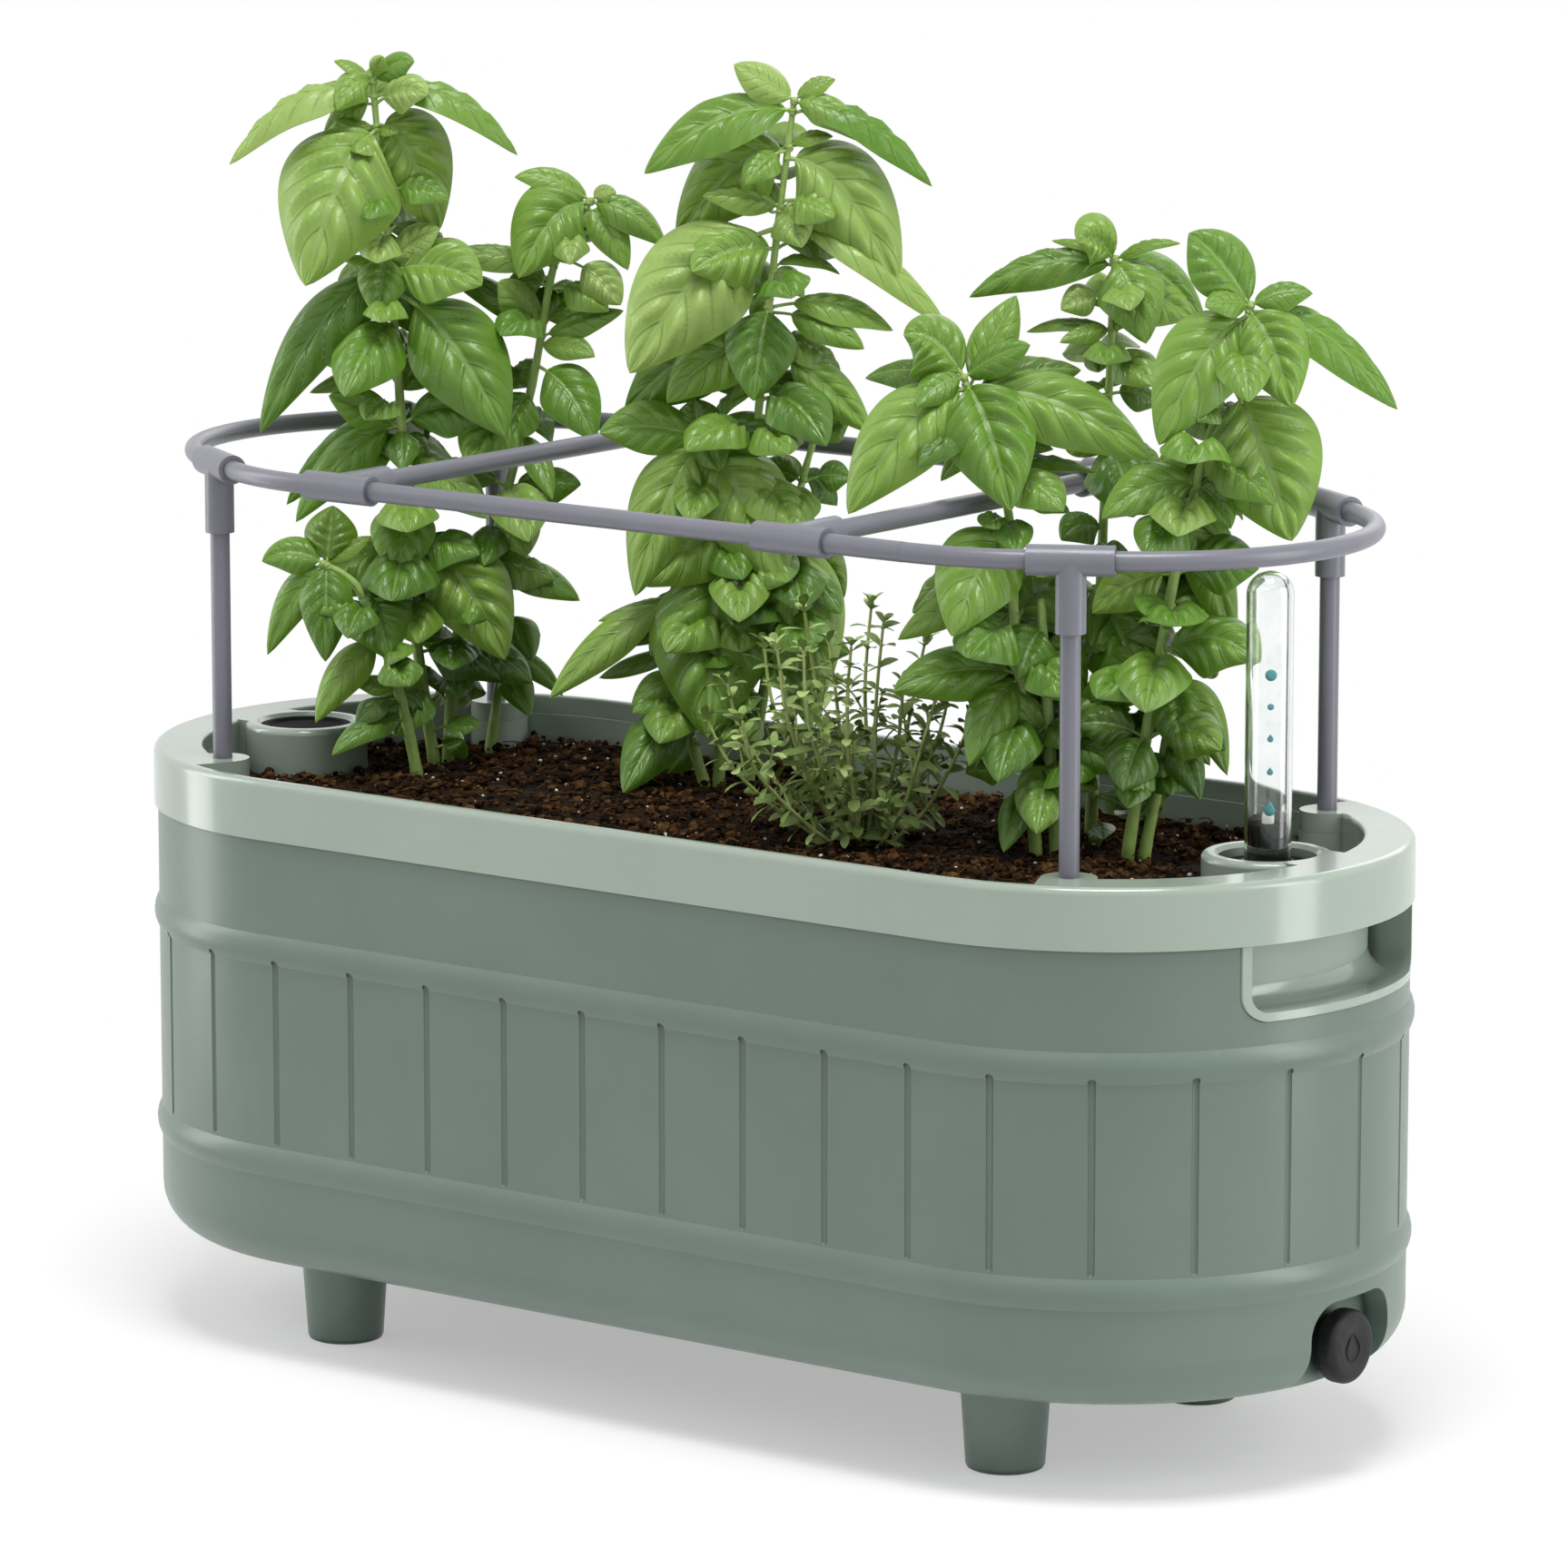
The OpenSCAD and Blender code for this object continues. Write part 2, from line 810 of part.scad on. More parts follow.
module gauge_lid() {
    rib_n = 16;
    neck_r = gauge_in_r - play;
    color(black_colour)
        translate([well_x, 0, 0])
            difference() {
                union() {
                    lid_body(lid_top_z);
                    cylinder_between(neck_r, lid_top_z - 0.5, neck_top_z - 9);
                    cylinder_between(neck_r - 0.9, neck_top_z - 9.5, neck_top_z);
                    for (i = [0 : rib_n - 1])
                        rotate([0, 0, i * 360 / rib_n])
                            translate([neck_r - 1.2, -0.5, neck_top_z - 9.5])
                                cube([0.9, 1, 9]);
                }
                cylinder_between(rod_r + play, lid_low_z - lid_plug - 1, neck_top_z + 1);
                cylinder_between(lid_plug_r - 2, lid_low_z - lid_plug - 1, lid_low_z - 1);
            }
}

module cylinder_between(r, low_z, high_z) {
    translate([0, 0, low_z])
        cylinder(r = r, h = high_z - low_z);
}

module gauge_tube() {
    foot_t = 1.2;
    dome_z = gauge_top_z - gauge_r;
    color("#dfe9e6", 0.4)
        translate([well_x, 0, 0])
            difference() {
                union() {
                    cylinder_between(gauge_r, lid_top_z, dome_z);
                    cylinder_between(gauge_r + 1.2, lid_top_z, lid_top_z + foot_t);
                    translate([0, 0, dome_z])
                        sphere(gauge_r);
                }
                cylinder_between(gauge_in_r, lid_top_z - 1, dome_z);
                translate([0, 0, dome_z])
                    sphere(gauge_in_r);
            }
}

module gauge_float() {
    edge = 3;
    color("#e9e7df")
        translate([well_x, 0, float_low_z])
            rotate_extrude()
                polygon([
                    [0, 0],
                    [float_r - edge, 0],
                    [float_r, edge],
                    [float_r, float_h - edge],
                    [float_r - edge, float_h],
                    [0, float_h]
                ]);
}

module gauge_rod() {
    color("#f2f2ee")
        translate([well_x, 0, 0]) {
            cylinder_between(rod_r, float_low_z + float_h, rod_top_z - rod_r);
            translate([0, 0, rod_top_z - rod_r])
                sphere(rod_r);
            // The collar meets the lid's underside with the reservoir full.
            cylinder_between(rod_r + 2, rod_stop_z - 2, rod_stop_z);
        }
}

module leg(side, depth) {
    color(trellis_colour)
        translate([side * leg_x, depth * leg_y, 0])
            cylinder_between(tube_r, leg_low_z, leg_top_z);
}

// Tee with its sleeve along X and its branch along -Z.
module tee() {
    color(trellis_colour)
        difference() {
            union() {
                translate([-sleeve_half, 0, 0])
                    rotate([0, 90, 0])
                        cylinder(r = tee_r, h = sleeve_len);
                cylinder_between(tee_r, -branch_len, 0);
            }
            translate([-sleeve_half - 1, 0, 0])
                rotate([0, 90, 0])
                    cylinder(r = tube_r + play, h = sleeve_len + 2);
            cylinder_between(tube_r + play, -branch_len - 1, -tube_r - 1);
        }
}

module leg_tee(side, depth) {
    corner(side, depth)
        translate([leg_x, -leg_y, ring_z])
            rotate([0, 0, tee_turn])
                tee();
}

module cross_tee(x, depth) {
    translate([x, depth * ring_y, ring_z])
        rotate([depth < 0 ? 90 : -90, 0, 0])
            tee();
}

// Bent length of ring tube about the origin, a hair slimmer than the straight lengths that it runs into.
module ring_bend(bend_r, from, to) {
    lap = tube_lap / bend_r * 180 / PI;
    rotate([0, 0, from - lap])
        rotate_extrude(angle = to - from + 2 * lap)
            translate([bend_r, 0])
                circle(tube_r - tube_step);
}

// Length of ring tube from a cross tee, round the bend, into the front right leg tee.
module ring_side(bar) {
    start = bar + tube_stop;
    color(trellis_colour)
        translate([0, 0, ring_z]) {
            translate([start, -ring_y, 0])
                rotate([0, 90, 0])
                    cylinder(r = tube_r, h = bend_x - start);
            translate([bend_x, -ring_y + side_bend, 0])
                ring_bend(side_bend, -90, tee_turn - 90);
            translate([sleeve_x, -sleeve_y, 0])
                rotate([0, 90, tee_turn])
                    cylinder(r = tube_r, h = sleeve_half - tube_stop);
        }
}

// Length of ring tube round the right end, between its two leg tees.
module ring_end() {
    half_angle = 90 - tee_turn;
    color(trellis_colour)
        translate([0, 0, ring_z]) {
            translate([end_bend_x, 0, 0])
                ring_bend(end_bend, -half_angle, half_angle);
            for (depth = [-1, 1])
                corner(1, depth)
                    translate([leg_x, -leg_y, 0])
                        rotate([0, 90, tee_turn])
                            translate([0, 0, tube_stop])
                                cylinder(r = tube_r, h = sleeve_half - tube_stop);
        }
}

module ring_middle(depth) {
    color(trellis_colour)
        translate([-bar_left + tube_stop, depth * ring_y, ring_z])
            rotate([0, 90, 0])
                cylinder(r = tube_r, h = bar_left + bar_right - 2 * tube_stop);
}

module crossbar(x) {
    half = ring_y - tube_r - 2;
    color(trellis_colour)
        translate([x, half, ring_z])
            rotate([90, 0, 0])
                cylinder(r = tube_r, h = 2 * half);
}

// Plan of the planting space, less a margin.
module planting_outline(margin) {
    difference() {
        liner_outline(liner_in_r - margin, deck_in_r - margin, end_angle + step_angle);
        both_ends()
            well_outline(margin);
        bosses(liner_out_r - 1, margin);
    }
}

mound_pitch = 43;
mound_r = 19;

// A low mound of the soil with a flat top; its foot lies a little below the surface.
module mound(high) {
    translate([0, 0, -0.3])
        cylinder(r1 = mound_r + 1, r2 = mound_r * 0.45, h = high + 0.3);
}

module soil() {
    color("#3b2a20") {
        translate([0, 0, planting_z + soil_space])
            linear_extrude(soil_z - planting_z - soil_space)
                planting_outline(soil_space);
        for (m = mounds)
            translate([m[0], m[1], soil_z])
                mound(m[2]);
        for (side = [-1, 1])
            translate([side * wick_x, 0, wick_low_z + liner_wall + soil_space])
                cylinder(r1 = wick_low_r - liner_wall - 2 * soil_space,
                         r2 = wick_top_r - liner_wall - 2 * soil_space,
                         h = planting_z + 1 - wick_low_z - liner_wall);
    }
}

// Basil. The three clumps are set out in a frame turned by clump_turn about the vertical, with u to the right,
// w away from the front and z up, for a planter with clump_run as its half run and soil at clump_soil_z.
// A stem is [clump, w, [u, z] points from the soil up].
clump_turn = 37.236;
clump_run = 170;
clump_soil_z = 225;
clump_w = [146, 97, -50];
clump_slope = 0.18;
basil_stems = [
    [0, 146, [[-141, 225], [-150, 296], [-155, 391], [-160, 456], [-165, 520]]],
    [0, 120, [[-147, 225], [-155, 263], [-170, 304], [-186, 317]]],
    [0, 157, [[-136, 225], [-131, 282], [-116, 319], [-99, 388], [-89, 440], [-74, 466]]],
    [0, 179, [[-119, 225], [-115, 253], [-110, 290]]],
    [1, 97, [[-20, 225], [-17, 267], [-10, 321], [-5, 363], [3, 443], [12, 515]]],
    [1, 97, [[-25, 225], [-32, 259], [-19, 315], [-27, 373]]],
    [1, 97, [[-8, 225], [2, 281], [8, 310], [14, 349], [20, 372]]],
    [2, -59, [[109, 225], [100, 315], [96, 370], [79, 419]]],
    [2, -19, [[132, 225], [136, 346], [140, 462]]],
    [2, -72, [[144, 225], [165, 354], [192, 451]]],
    [2, -59, [[117, 225], [111, 315], [110, 330]]],
    [2, -68, [[151, 225], [161, 280], [163, 300]]]
];

// A leaf is [stem, height of its foot, u, z and w of its tip, width, arch, share of its face turned to the
// front, stalk]. The tip's height is the one on the clump's own w, and falls by clump_slope behind that.
basil_leaves = [
    [0, 517, -181, 526, 146, 7, 2, 0.3, 0], [0, 517, -147, 525, 140, 11, 3, 0.6, 0], [0, 517, -179, 504, 132, 13, 5, 0.7, 0],
    [0, 518, -160, 527, 138, 6, 1, 0.8, 0], [0, 511, -225, 482, 140, 20, 13, 0.15, 4], [0, 511, -104, 486, 140, 20, 12, 0.2, 4],
    [0, 497, -181, 502, 150, 5, 1, 0.3, 0], [0, 497, -154, 495, 138, 6, 1, 0.4, 0], [0, 497, -192, 429, 112, 42, 12, 0.75, 6],
    [0, 499, -138, 454, 150, 30, 12, 0.7, 6], [0, 443, -164, 456, 155, 10, 1, 0.6, 0], [0, 441, -137, 455, 140, 13, 2, 0.6, 0],
    [0, 443, -163, 417, 130, 17, 4, 0.85, 2], [0, 440, -181, 443, 146, 5, 1, 0.4, 0], [0, 437, -213, 368, 132, 21, 14, 0.5, 12],
    [0, 433, -179, 407, 140, 9, 3, 0.6, 3], [0, 430, -143, 408, 156, 13, 3, 0.6, 2], [0, 430, -109, 366, 118, 32, 10, 0.75, 18],
    [0, 396, -174, 391, 155, 7, 2, 0.4, 2], [0, 394, -193, 386, 150, 9, 3, 0.5, 3], [0, 385, -143, 405, 160, 16, 2, 0.6, 2],
    [0, 370, -184, 384, 135, 14, 2, 0.7, 4], [0, 370, -153, 352, 128, 12, 3, 0.8, 3], [0, 372, -198, 330, 128, 16, 9, 0.6, 8],
    [0, 373, -203, 338, 146, 15, 10, 0.5, 8], [0, 371, -192, 352, 150, 12, 5, 0.6, 6], [0, 372, -113, 371, 138, 20, 8, 0.6, 4],
    [0, 366, -143, 356, 150, 11, 2, 0.6, 2], [0, 340, -154, 305, 120, 22, 5, 0.85, 4], [0, 326, -163, 304, 138, 9, 3, 0.6, 2],
    [0, 326, -147, 304, 155, 15, 4, 0.6, 4], [0, 322, -110, 271, 122, 29, 12, 0.8, 18], [0, 286, -139, 284, 150, 13, 2, 0.6, 1],
    [0, 258, -159, 254, 122, 17, 3, 0.8, 1], [0, 240, -121, 242, 135, 10, 3, 0.4, 8], [0, 233, -128, 237, 130, 13, 0, 0.9, 8],
    [1, 316, -182, 337, 125, 18, 1, 0.6, 2], [1, 317, -212, 313, 120, 14, 4, 0.6, 1], [1, 316, -166, 324, 125, 7, 2, 0.3, 1],
    [1, 316, -185, 270, 108, 18, 6, 0.8, 3], [1, 315, -210, 273, 118, 13, 8, 0.6, 4], [1, 300, -158, 271, 108, 23, 6, 0.8, 2],
    [1, 284, -189, 244, 100, 14, 6, 0.6, 3], [1, 262, -174, 261, 118, 8, 2, 0.5, 2], [1, 258, -163, 247, 112, 9, 2, 0.6, 1],
    [1, 250, -182, 230, 96, 10, 5, 0.5, 2], [2, 466, -106, 478, 157, 11, 4, 0.5, 0], [2, 465, -104, 434, 140, 27, 9, 0.8, 3],
    [2, 466, -63, 471, 157, 8, 2, 0.5, 0], [2, 465, -42, 448, 150, 14, 6, 0.5, 3], [2, 463, -58, 438, 150, 13, 4, 0.7, 3],
    [2, 441, -61, 423, 145, 15, 5, 0.7, 14], [2, 440, -77, 446, 150, 5, 1, 0.5, 0], [2, 438, -140, 443, 150, 11, 4, 0.5, 4],
    [2, 408, -60, 421, 150, 10, 2, 0.5, 3], [2, 404, -72, 401, 145, 10, 3, 0.6, 1], [2, 408, -135, 436, 165, 11, 6, 0.5, 4],
    [2, 406, -113, 433, 150, 14, 4, 0.6, 2], [2, 396, -72, 365, 135, 20, 6, 0.75, 8], [2, 396, -110, 388, 165, 12, 3, 0.5, 1],
    [2, 385, -113, 362, 140, 18, 3, 0.7, 3], [2, 368, -90, 340, 135, 9, 3, 0.6, 4], [2, 335, -101, 316, 140, 17, 4, 0.7, 3],
    [2, 322, -105, 306, 160, 10, 3, 0.6, 2], [2, 308, -79, 297, 150, 14, 5, 0.5, 8], [3, 266, -140, 271, 165, 19, 4, 0.6, 2],
    [3, 285, -100, 271, 165, 13, 3, 0.7, 2], [3, 262, -101, 247, 165, 12, 4, 0.6, 2], [3, 270, -87, 256, 175, 9, 4, 0.4, 2],
    [4, 514, -13, 532, 97, 14, 1, 0.6, 0], [4, 514, 29, 523, 100, 8, 2, 0.4, 0], [4, 510, -50, 483, 88, 24, 9, 0.45, 3],
    [4, 513, 40, 496, 88, 13, 6, 0.5, 2], [4, 509, 69, 478, 92, 18, 12, 0.2, 4], [4, 495, 28, 499, 95, 7, 2, 0.4, 0],
    [4, 494, -37, 457, 105, 28, 9, 0.65, 4], [4, 490, 55, 435, 88, 32, 14, 0.7, 5], [4, 470, -26, 474, 90, 12, 2, 0.5, 0],
    [4, 468, 15, 452, 84, 16, 3, 0.85, 0], [4, 470, -1, 483, 104, 6, 1, 0.5, 0], [4, 470, 24, 465, 100, 8, 2, 0.4, 0],
    [4, 461, -56, 399, 70, 38, 12, 0.75, 15], [4, 462, 76, 418, 85, 16, 10, 0.35, 14], [4, 445, 31, 442, 100, 7, 5, 0.3, 2],
    [4, 443, 16, 432, 95, 9, 3, 0.6, 1], [4, 428, 53, 418, 92, 15, 6, 0.4, 10], [4, 426, 41, 410, 86, 13, 4, 0.6, 10],
    [4, 428, -5, 388, 78, 24, 5, 0.85, 4], [4, 432, -5, 420, 105, 10, 2, 0.6, 2], [4, 418, -59, 385, 110, 27, 8, 0.65, 12],
    [4, 412, 44, 375, 88, 15, 4, 0.7, 14], [4, 396, 30, 390, 105, 12, 4, 0.5, 3], [4, 394, 24, 383, 100, 12, 3, 0.6, 3],
    [4, 402, -15, 389, 100, 6, 2, 0.5, 1], [4, 315, -3, 293, 105, 12, 2, 0.7, 2], [4, 288, 11, 270, 104, 9, 2, 0.5, 2],
    [6, 372, 35, 380, 100, 10, 2, 0.5, 0], [6, 372, 12, 384, 100, 10, 2, 0.6, 0], [6, 356, 30, 345, 105, 14, 4, 0.5, 2],
    [6, 330, 33, 306, 100, 17, 5, 0.6, 8], [6, 335, 18, 251, 70, 29, 8, 0.8, 8], [5, 373, -69, 375, 88, 19, 4, 0.7, 2],
    [5, 373, 12, 371, 92, 17, 4, 0.65, 3], [5, 374, -30, 390, 100, 15, 1, 0.8, 0], [5, 374, -19, 359, 84, 13, 2, 0.85, 0],
    [5, 370, -54, 306, 70, 25, 10, 0.75, 4], [5, 368, 7, 310, 72, 32, 9, 0.75, 5], [5, 322, -24, 246, 66, 42, 8, 0.85, 8],
    [5, 330, -48, 311, 105, 16, 3, 0.6, 2], [5, 322, -42, 300, 112, 14, 3, 0.6, 2], [5, 312, -90, 263, 75, 14, 8, 0.6, 30],
    [5, 304, -70, 296, 92, 9, 3, 0.4, 8], [5, 295, -77, 287, 100, 12, 3, 0.5, 10], [5, 296, -48, 281, 88, 17, 4, 0.7, 6],
    [5, 285, -70, 272, 105, 8, 2, 0.5, 14], [5, 274, -56, 260, 85, 13, 4, 0.5, 4], [5, 262, -59, 223, 62, 19, 5, 0.7, 4],
    [5, 244, -41, 231, 105, 13, 3, 0.5, 3], [7, 419, 55, 434, -62, 24, 6, 0.6, 0], [7, 419, 60, 405, -72, 12, 3, 0.7, 0],
    [7, 419, 105, 430, -66, 12, 2, 0.6, 0], [7, 414, 100, 451, -45, 15, 1, 0.6, 4], [7, 412, 126, 421, -45, 16, 4, 0.5, 5],
    [7, 414, 153, 384, -72, 25, 8, 0.6, 6], [7, 416, 97, 363, -85, 30, 7, 0.8, 3], [7, 415, 33, 362, -80, 27, 9, 0.65, 5],
    [7, 412, 40, 418, -40, 13, 6, 0.5, 6], [7, 410, 48, 405, -42, 11, 4, 0.5, 6], [7, 396, 70, 376, -55, 9, 3, 0.5, 2],
    [7, 394, 115, 389, -50, 9, 2, 0.5, 2], [7, 384, 132, 380, -45, 9, 4, 0.2, 3], [7, 370, 122, 364, -40, 14, 5, 0.5, 2],
    [7, 358, 74, 313, -85, 28, 6, 0.75, 3], [7, 335, 53, 312, -62, 12, 4, 0.6, 10], [7, 325, 82, 305, -40, 13, 3, 0.6, 3],
    [7, 300, 51, 291, -78, 19, 5, 0.65, 4], [7, 298, 81, 261, -85, 16, 6, 0.7, 3], [7, 256, 95, 226, -80, 10, 3, 0.6, 2],
    [10, 318, 101, 296, -75, 19, 4, 0.75, 3], [10, 312, 128, 289, -50, 17, 4, 0.7, 3], [10, 274, 146, 284, -62, 15, 3, 0.6, 3],
    [10, 270, 147, 257, -75, 14, 5, 0.55, 3], [10, 270, 84, 260, -78, 13, 4, 0.6, 2], [10, 272, 97, 291, -66, 13, 1, 0.6, 1],
    [10, 262, 104, 241, -75, 13, 4, 0.7, 1], [8, 459, 82, 452, -15, 16, 7, 0.45, 2], [8, 461, 125, 473, -30, 20, 4, 0.7, 0],
    [8, 462, 115, 475, -12, 5, 2, 0.3, 0], [8, 461, 166, 473, -25, 6, 3, 0.3, 1], [8, 460, 152, 432, -38, 22, 6, 0.8, 2],
    [8, 460, 178, 440, -5, 18, 8, 0.6, 4], [8, 433, 105, 438, -15, 8, 3, 0.3, 1], [8, 433, 118, 433, -28, 8, 2, 0.4, 0],
    [8, 433, 146, 441, -25, 7, 1, 0.4, 0], [8, 446, 131, 449, -20, 4, 0, 0.4, 0], [8, 382, 120, 402, -8, 16, 2, 0.6, 1],
    [8, 380, 160, 384, -10, 16, 4, 0.5, 2], [8, 352, 119, 353, -30, 15, 4, 0.5, 2], [8, 334, 178, 325, -60, 24, 5, 0.6, 3],
    [8, 330, 131, 309, -40, 8, 2, 0.6, 2], [8, 322, 152, 288, -55, 28, 5, 0.8, 4], [8, 243, 152, 239, -40, 10, 3, 0.5, 3],
    [8, 231, 136, 231, -45, 10, 0, 0.9, 3], [9, 449, 167, 474, -70, 22, 3, 0.6, 0], [9, 449, 173, 444, -84, 10, 2, 0.6, 0],
    [9, 449, 216, 450, -72, 11, 3, 0.5, 0], [9, 447, 207, 404, -90, 25, 6, 0.8, 3], [9, 447, 250, 404, -72, 20, 10, 0.4, 6],
    [9, 445, 155, 389, -90, 28, 9, 0.7, 5], [9, 420, 208, 351, -85, 38, 6, 0.85, 12], [9, 378, 133, 360, -84, 17, 6, 0.6, 2],
    [9, 378, 196, 367, -76, 12, 5, 0.45, 2], [9, 377, 184, 356, -84, 14, 4, 0.7, 1], [9, 398, 187, 382, -55, 13, 5, 0.5, 2],
    [9, 362, 187, 307, -60, 16, 8, 0.55, 4], [9, 330, 183, 305, -60, 9, 4, 0.5, 4], [11, 296, 166, 264, -88, 17, 5, 0.75, 3],
    [11, 298, 184, 257, -76, 14, 9, 0.6, 4], [11, 285, 178, 261, -60, 10, 4, 0.5, 4], [11, 272, 173, 247, -84, 13, 6, 0.6, 2],
    [11, 262, 158, 265, -72, 9, 1, 0.6, 1], [11, 258, 159, 249, -80, 6, 3, 0.4, 1]
];

function mix(a, b, t) = a + (b - a) * t;
function unit(v) = v / norm(v);
function leaf_width(t) = pow(sin(180 * pow(t, 0.8)), 0.85);

// Point of a stem at a height.
function stem_point(s, z, i = 1) =
    let (a = s[2][i - 1], b = s[2][i])
    z <= b[1] || i == len(s[2]) - 1
        ? [mix(a[0], b[0], (z - a[1]) / (b[1] - a[1])), s[1], z]
        : stem_point(s, z, i + 1);

// Middle line of a leaf from its foot to its tip, as a curve with one control point, and its direction.
function curve_point(c, t) = mix(mix(c[0], c[1], t), mix(c[1], c[2], t), t);
function curve_way(c, t) = unit(mix(c[1] - c[0], c[2] - c[1], t));
function leaf_curve(l) =
    let (
        s = basil_stems[l[0]],
        foot = stem_point(s, l[1]),
        tip = [l[2], l[4], l[3] - clump_slope * (l[4] - clump_w[s[0]])]
    )
    [foot, (foot + tip) / 2 + [0, 0, 2 * l[6]], tip];

// Cross-section of a leaf: two edges, a rib above and a rib below.
function leaf_section(c, t, half, face) =
    let (
        p = curve_point(c, t),
        way = curve_way(c, t),
        across = unit(cross([0, -face, 1 - face], way)),
        up = cross(way, across)
    )
    [
        p + half * across + 0.15 * half * up,
        p + leaf_t / 2 * up,
        p - half * across + 0.15 * half * up,
        p - leaf_t * up
    ];
leaf_steps = [0.25, 0.5, 0.78];
leaf_faces = [
    for (k = [0 : 3])
        let (n = (k + 1) % 4)
        each [
            [0, 1 + k, 1 + n],
            [1 + k, 5 + n, 1 + n], [1 + k, 5 + k, 5 + n],
            [5 + k, 9 + n, 5 + n], [5 + k, 9 + k, 9 + n],
            [9 + k, 13, 9 + n]
        ]
];

module leaf(l) {
    c = leaf_curve(l);
    start = min(0.6, l[8] / norm(c[2] - c[0]));
    points = [
        c[0],
        for (k = leaf_steps)
            each leaf_section(c, mix(start, 1, k), leaf_full * l[5] / 2 * leaf_width(k), l[7]),
        c[2]
    ];
    polyhedron(points, leaf_faces);
}

module stem_piece(a, b, r, sides) {
    hull()
        for (p = [a, b])
            translate(p)
                cylinder(r = r, h = 0.4, $fn = sides);
}

// One clump, moved along with the end that it grows at and with the soil's surface.
module basil_clump(n, side) {
    color("#5d9a34")
        translate([side * (half_run - clump_run), 0, soil_z - clump_soil_z + 0.1])
            rotate([0, 0, clump_turn]) {
                for (s = basil_stems)
                    if (s[0] == n)
                        for (i = [1 : len(s[2]) - 1])
                            let (a = s[2][i - 1], b = s[2][i])
                            stem_piece(
                                [a[0], s[1], a[1]], [b[0], s[1], b[1]], stem_r * mix(1, 0.5, i / len(s[2])), 6
                            );
                for (l = basil_leaves)
                    if (basil_stems[l[0]][0] == n)
                        leaf(l);
            }
}

thyme_stems = 11;
thyme_foot = [49, 1];

// Low mounds of the soil's surface, in staggered rows clear of the walls, the wells and the stems.
stem_feet = [
    for (b = basil_stems)
        let (u = b[2][0][0], w = b[1])
        [u * cos(clump_turn) - w * sin(clump_turn) + (b[0] - 1) * (half_run - clump_run),
         u * sin(clump_turn) + w * cos(clump_turn)],
    thyme_foot
];
function mound_free(p) =
    norm([max(0, abs(p[0]) - half_run), p[1]]) < deck_in_r - mound_r - 2
    && norm([abs(p[0]) - well_x, p[1]]) > well_r + mound_r + 3
    && min([for (f = stem_feet) norm(p - f)]) > mound_r + 5;
mounds = [
    for (i = [-6 : 6], j = [-2 : 2])
        let (p = [(i + j / 2 - floor(j / 2)) * mound_pitch, j * mound_pitch * 0.88])
        if (mound_free(p)) [p[0], p[1], mound_h * (0.7 + 0.3 * sin(70 * i + 110 * j))]
];

module thyme_leaf(len) {
    polyhedron(
        [[0, 0, 0], [len, 0, len * 0.2], [len * 0.5, len * 0.28, 0.5], [len * 0.5, -len * 0.28, 0.5],
         [len * 0.5, 0, 0.9], [len * 0.5, 0, -0.3]],
        [[0, 2, 4], [2, 1, 4], [1, 3, 4], [3, 0, 4], [2, 0, 5], [1, 2, 5], [3, 1, 5], [0, 3, 5]]
    );
}

module thyme_stem(i) {
    turn = i * 137.5;
    lean = 12 + 30 * i / thyme_stems;
    high = thyme_h * (0.7 + 0.3 * sin(i * 71) * sin(i * 71));
    reach = high * tan(lean) * 0.8;
    foot = [thyme_foot[0] + 5 * cos(turn), thyme_foot[1] + 5 * sin(turn), soil_z + 0.1];
    tip = foot + [reach * cos(turn), reach * sin(turn), high];
    pairs = 6;
    stem_piece(foot, tip, 0.8, 4);
    for (k = [1 : pairs], half = [0, 180])
        translate(mix(foot, tip, k / pairs))
            rotate([0, 0, turn + 90 * k + half])
                thyme_leaf(7);
}

module thyme() {
    color("#6f8a5a")
        for (i = [0 : thyme_stems - 1])
            thyme_stem(i);
}

outer_tub();
foot(-1, -1);  // foot_front_left
foot(1, -1);  // foot_front_right
foot(-1, 1);  // foot_back_left
foot(1, 1);  // foot_back_right
drain_plug();
inner_liner();
liner_rim();
well_shaft(-1);  // well_shaft_left
well_shaft(1);  // well_shaft_right
handle_cup(-1);  // handle_cup_left
handle_cup(1);  // handle_cup_right
fill_cap();
gauge_lid();
gauge_tube();
gauge_float();
gauge_rod();
leg(-1, -1);  // leg_front_left
leg(1, -1);  // leg_front_right
leg(-1, 1);  // leg_back_left
leg(1, 1);  // leg_back_right
leg_tee(-1, -1);  // leg_tee_front_left
leg_tee(1, -1);  // leg_tee_front_right
leg_tee(-1, 1);  // leg_tee_back_left
leg_tee(1, 1);  // leg_tee_back_right
cross_tee(-bar_left, -1);  // cross_tee_front_left
cross_tee(bar_right, -1);  // cross_tee_front_right
cross_tee(-bar_left, 1);  // cross_tee_back_left
cross_tee(bar_right, 1);  // cross_tee_back_right
mirror([1, 0, 0]) ring_side(bar_left);  // ring_front_left
ring_middle(-1);  // ring_front_middle
ring_side(bar_right);  // ring_front_right
ring_end();  // ring_end_right
mirror([0, 1, 0]) ring_side(bar_right);  // ring_back_right
ring_middle(1);  // ring_back_middle
mirror([0, 1, 0]) mirror([1, 0, 0]) ring_side(bar_left);  // ring_back_left
mirror([1, 0, 0]) ring_end();  // ring_end_left
crossbar(-bar_left);  // crossbar_left
crossbar(bar_right);  // crossbar_right
soil();
basil_clump(0, -1);  // basil_left
basil_clump(1, 0);  // basil_middle
basil_clump(2, 1);  // basil_right
thyme();
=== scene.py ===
import json
import math
import random

import bpy
import numpy as np
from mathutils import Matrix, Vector, noise

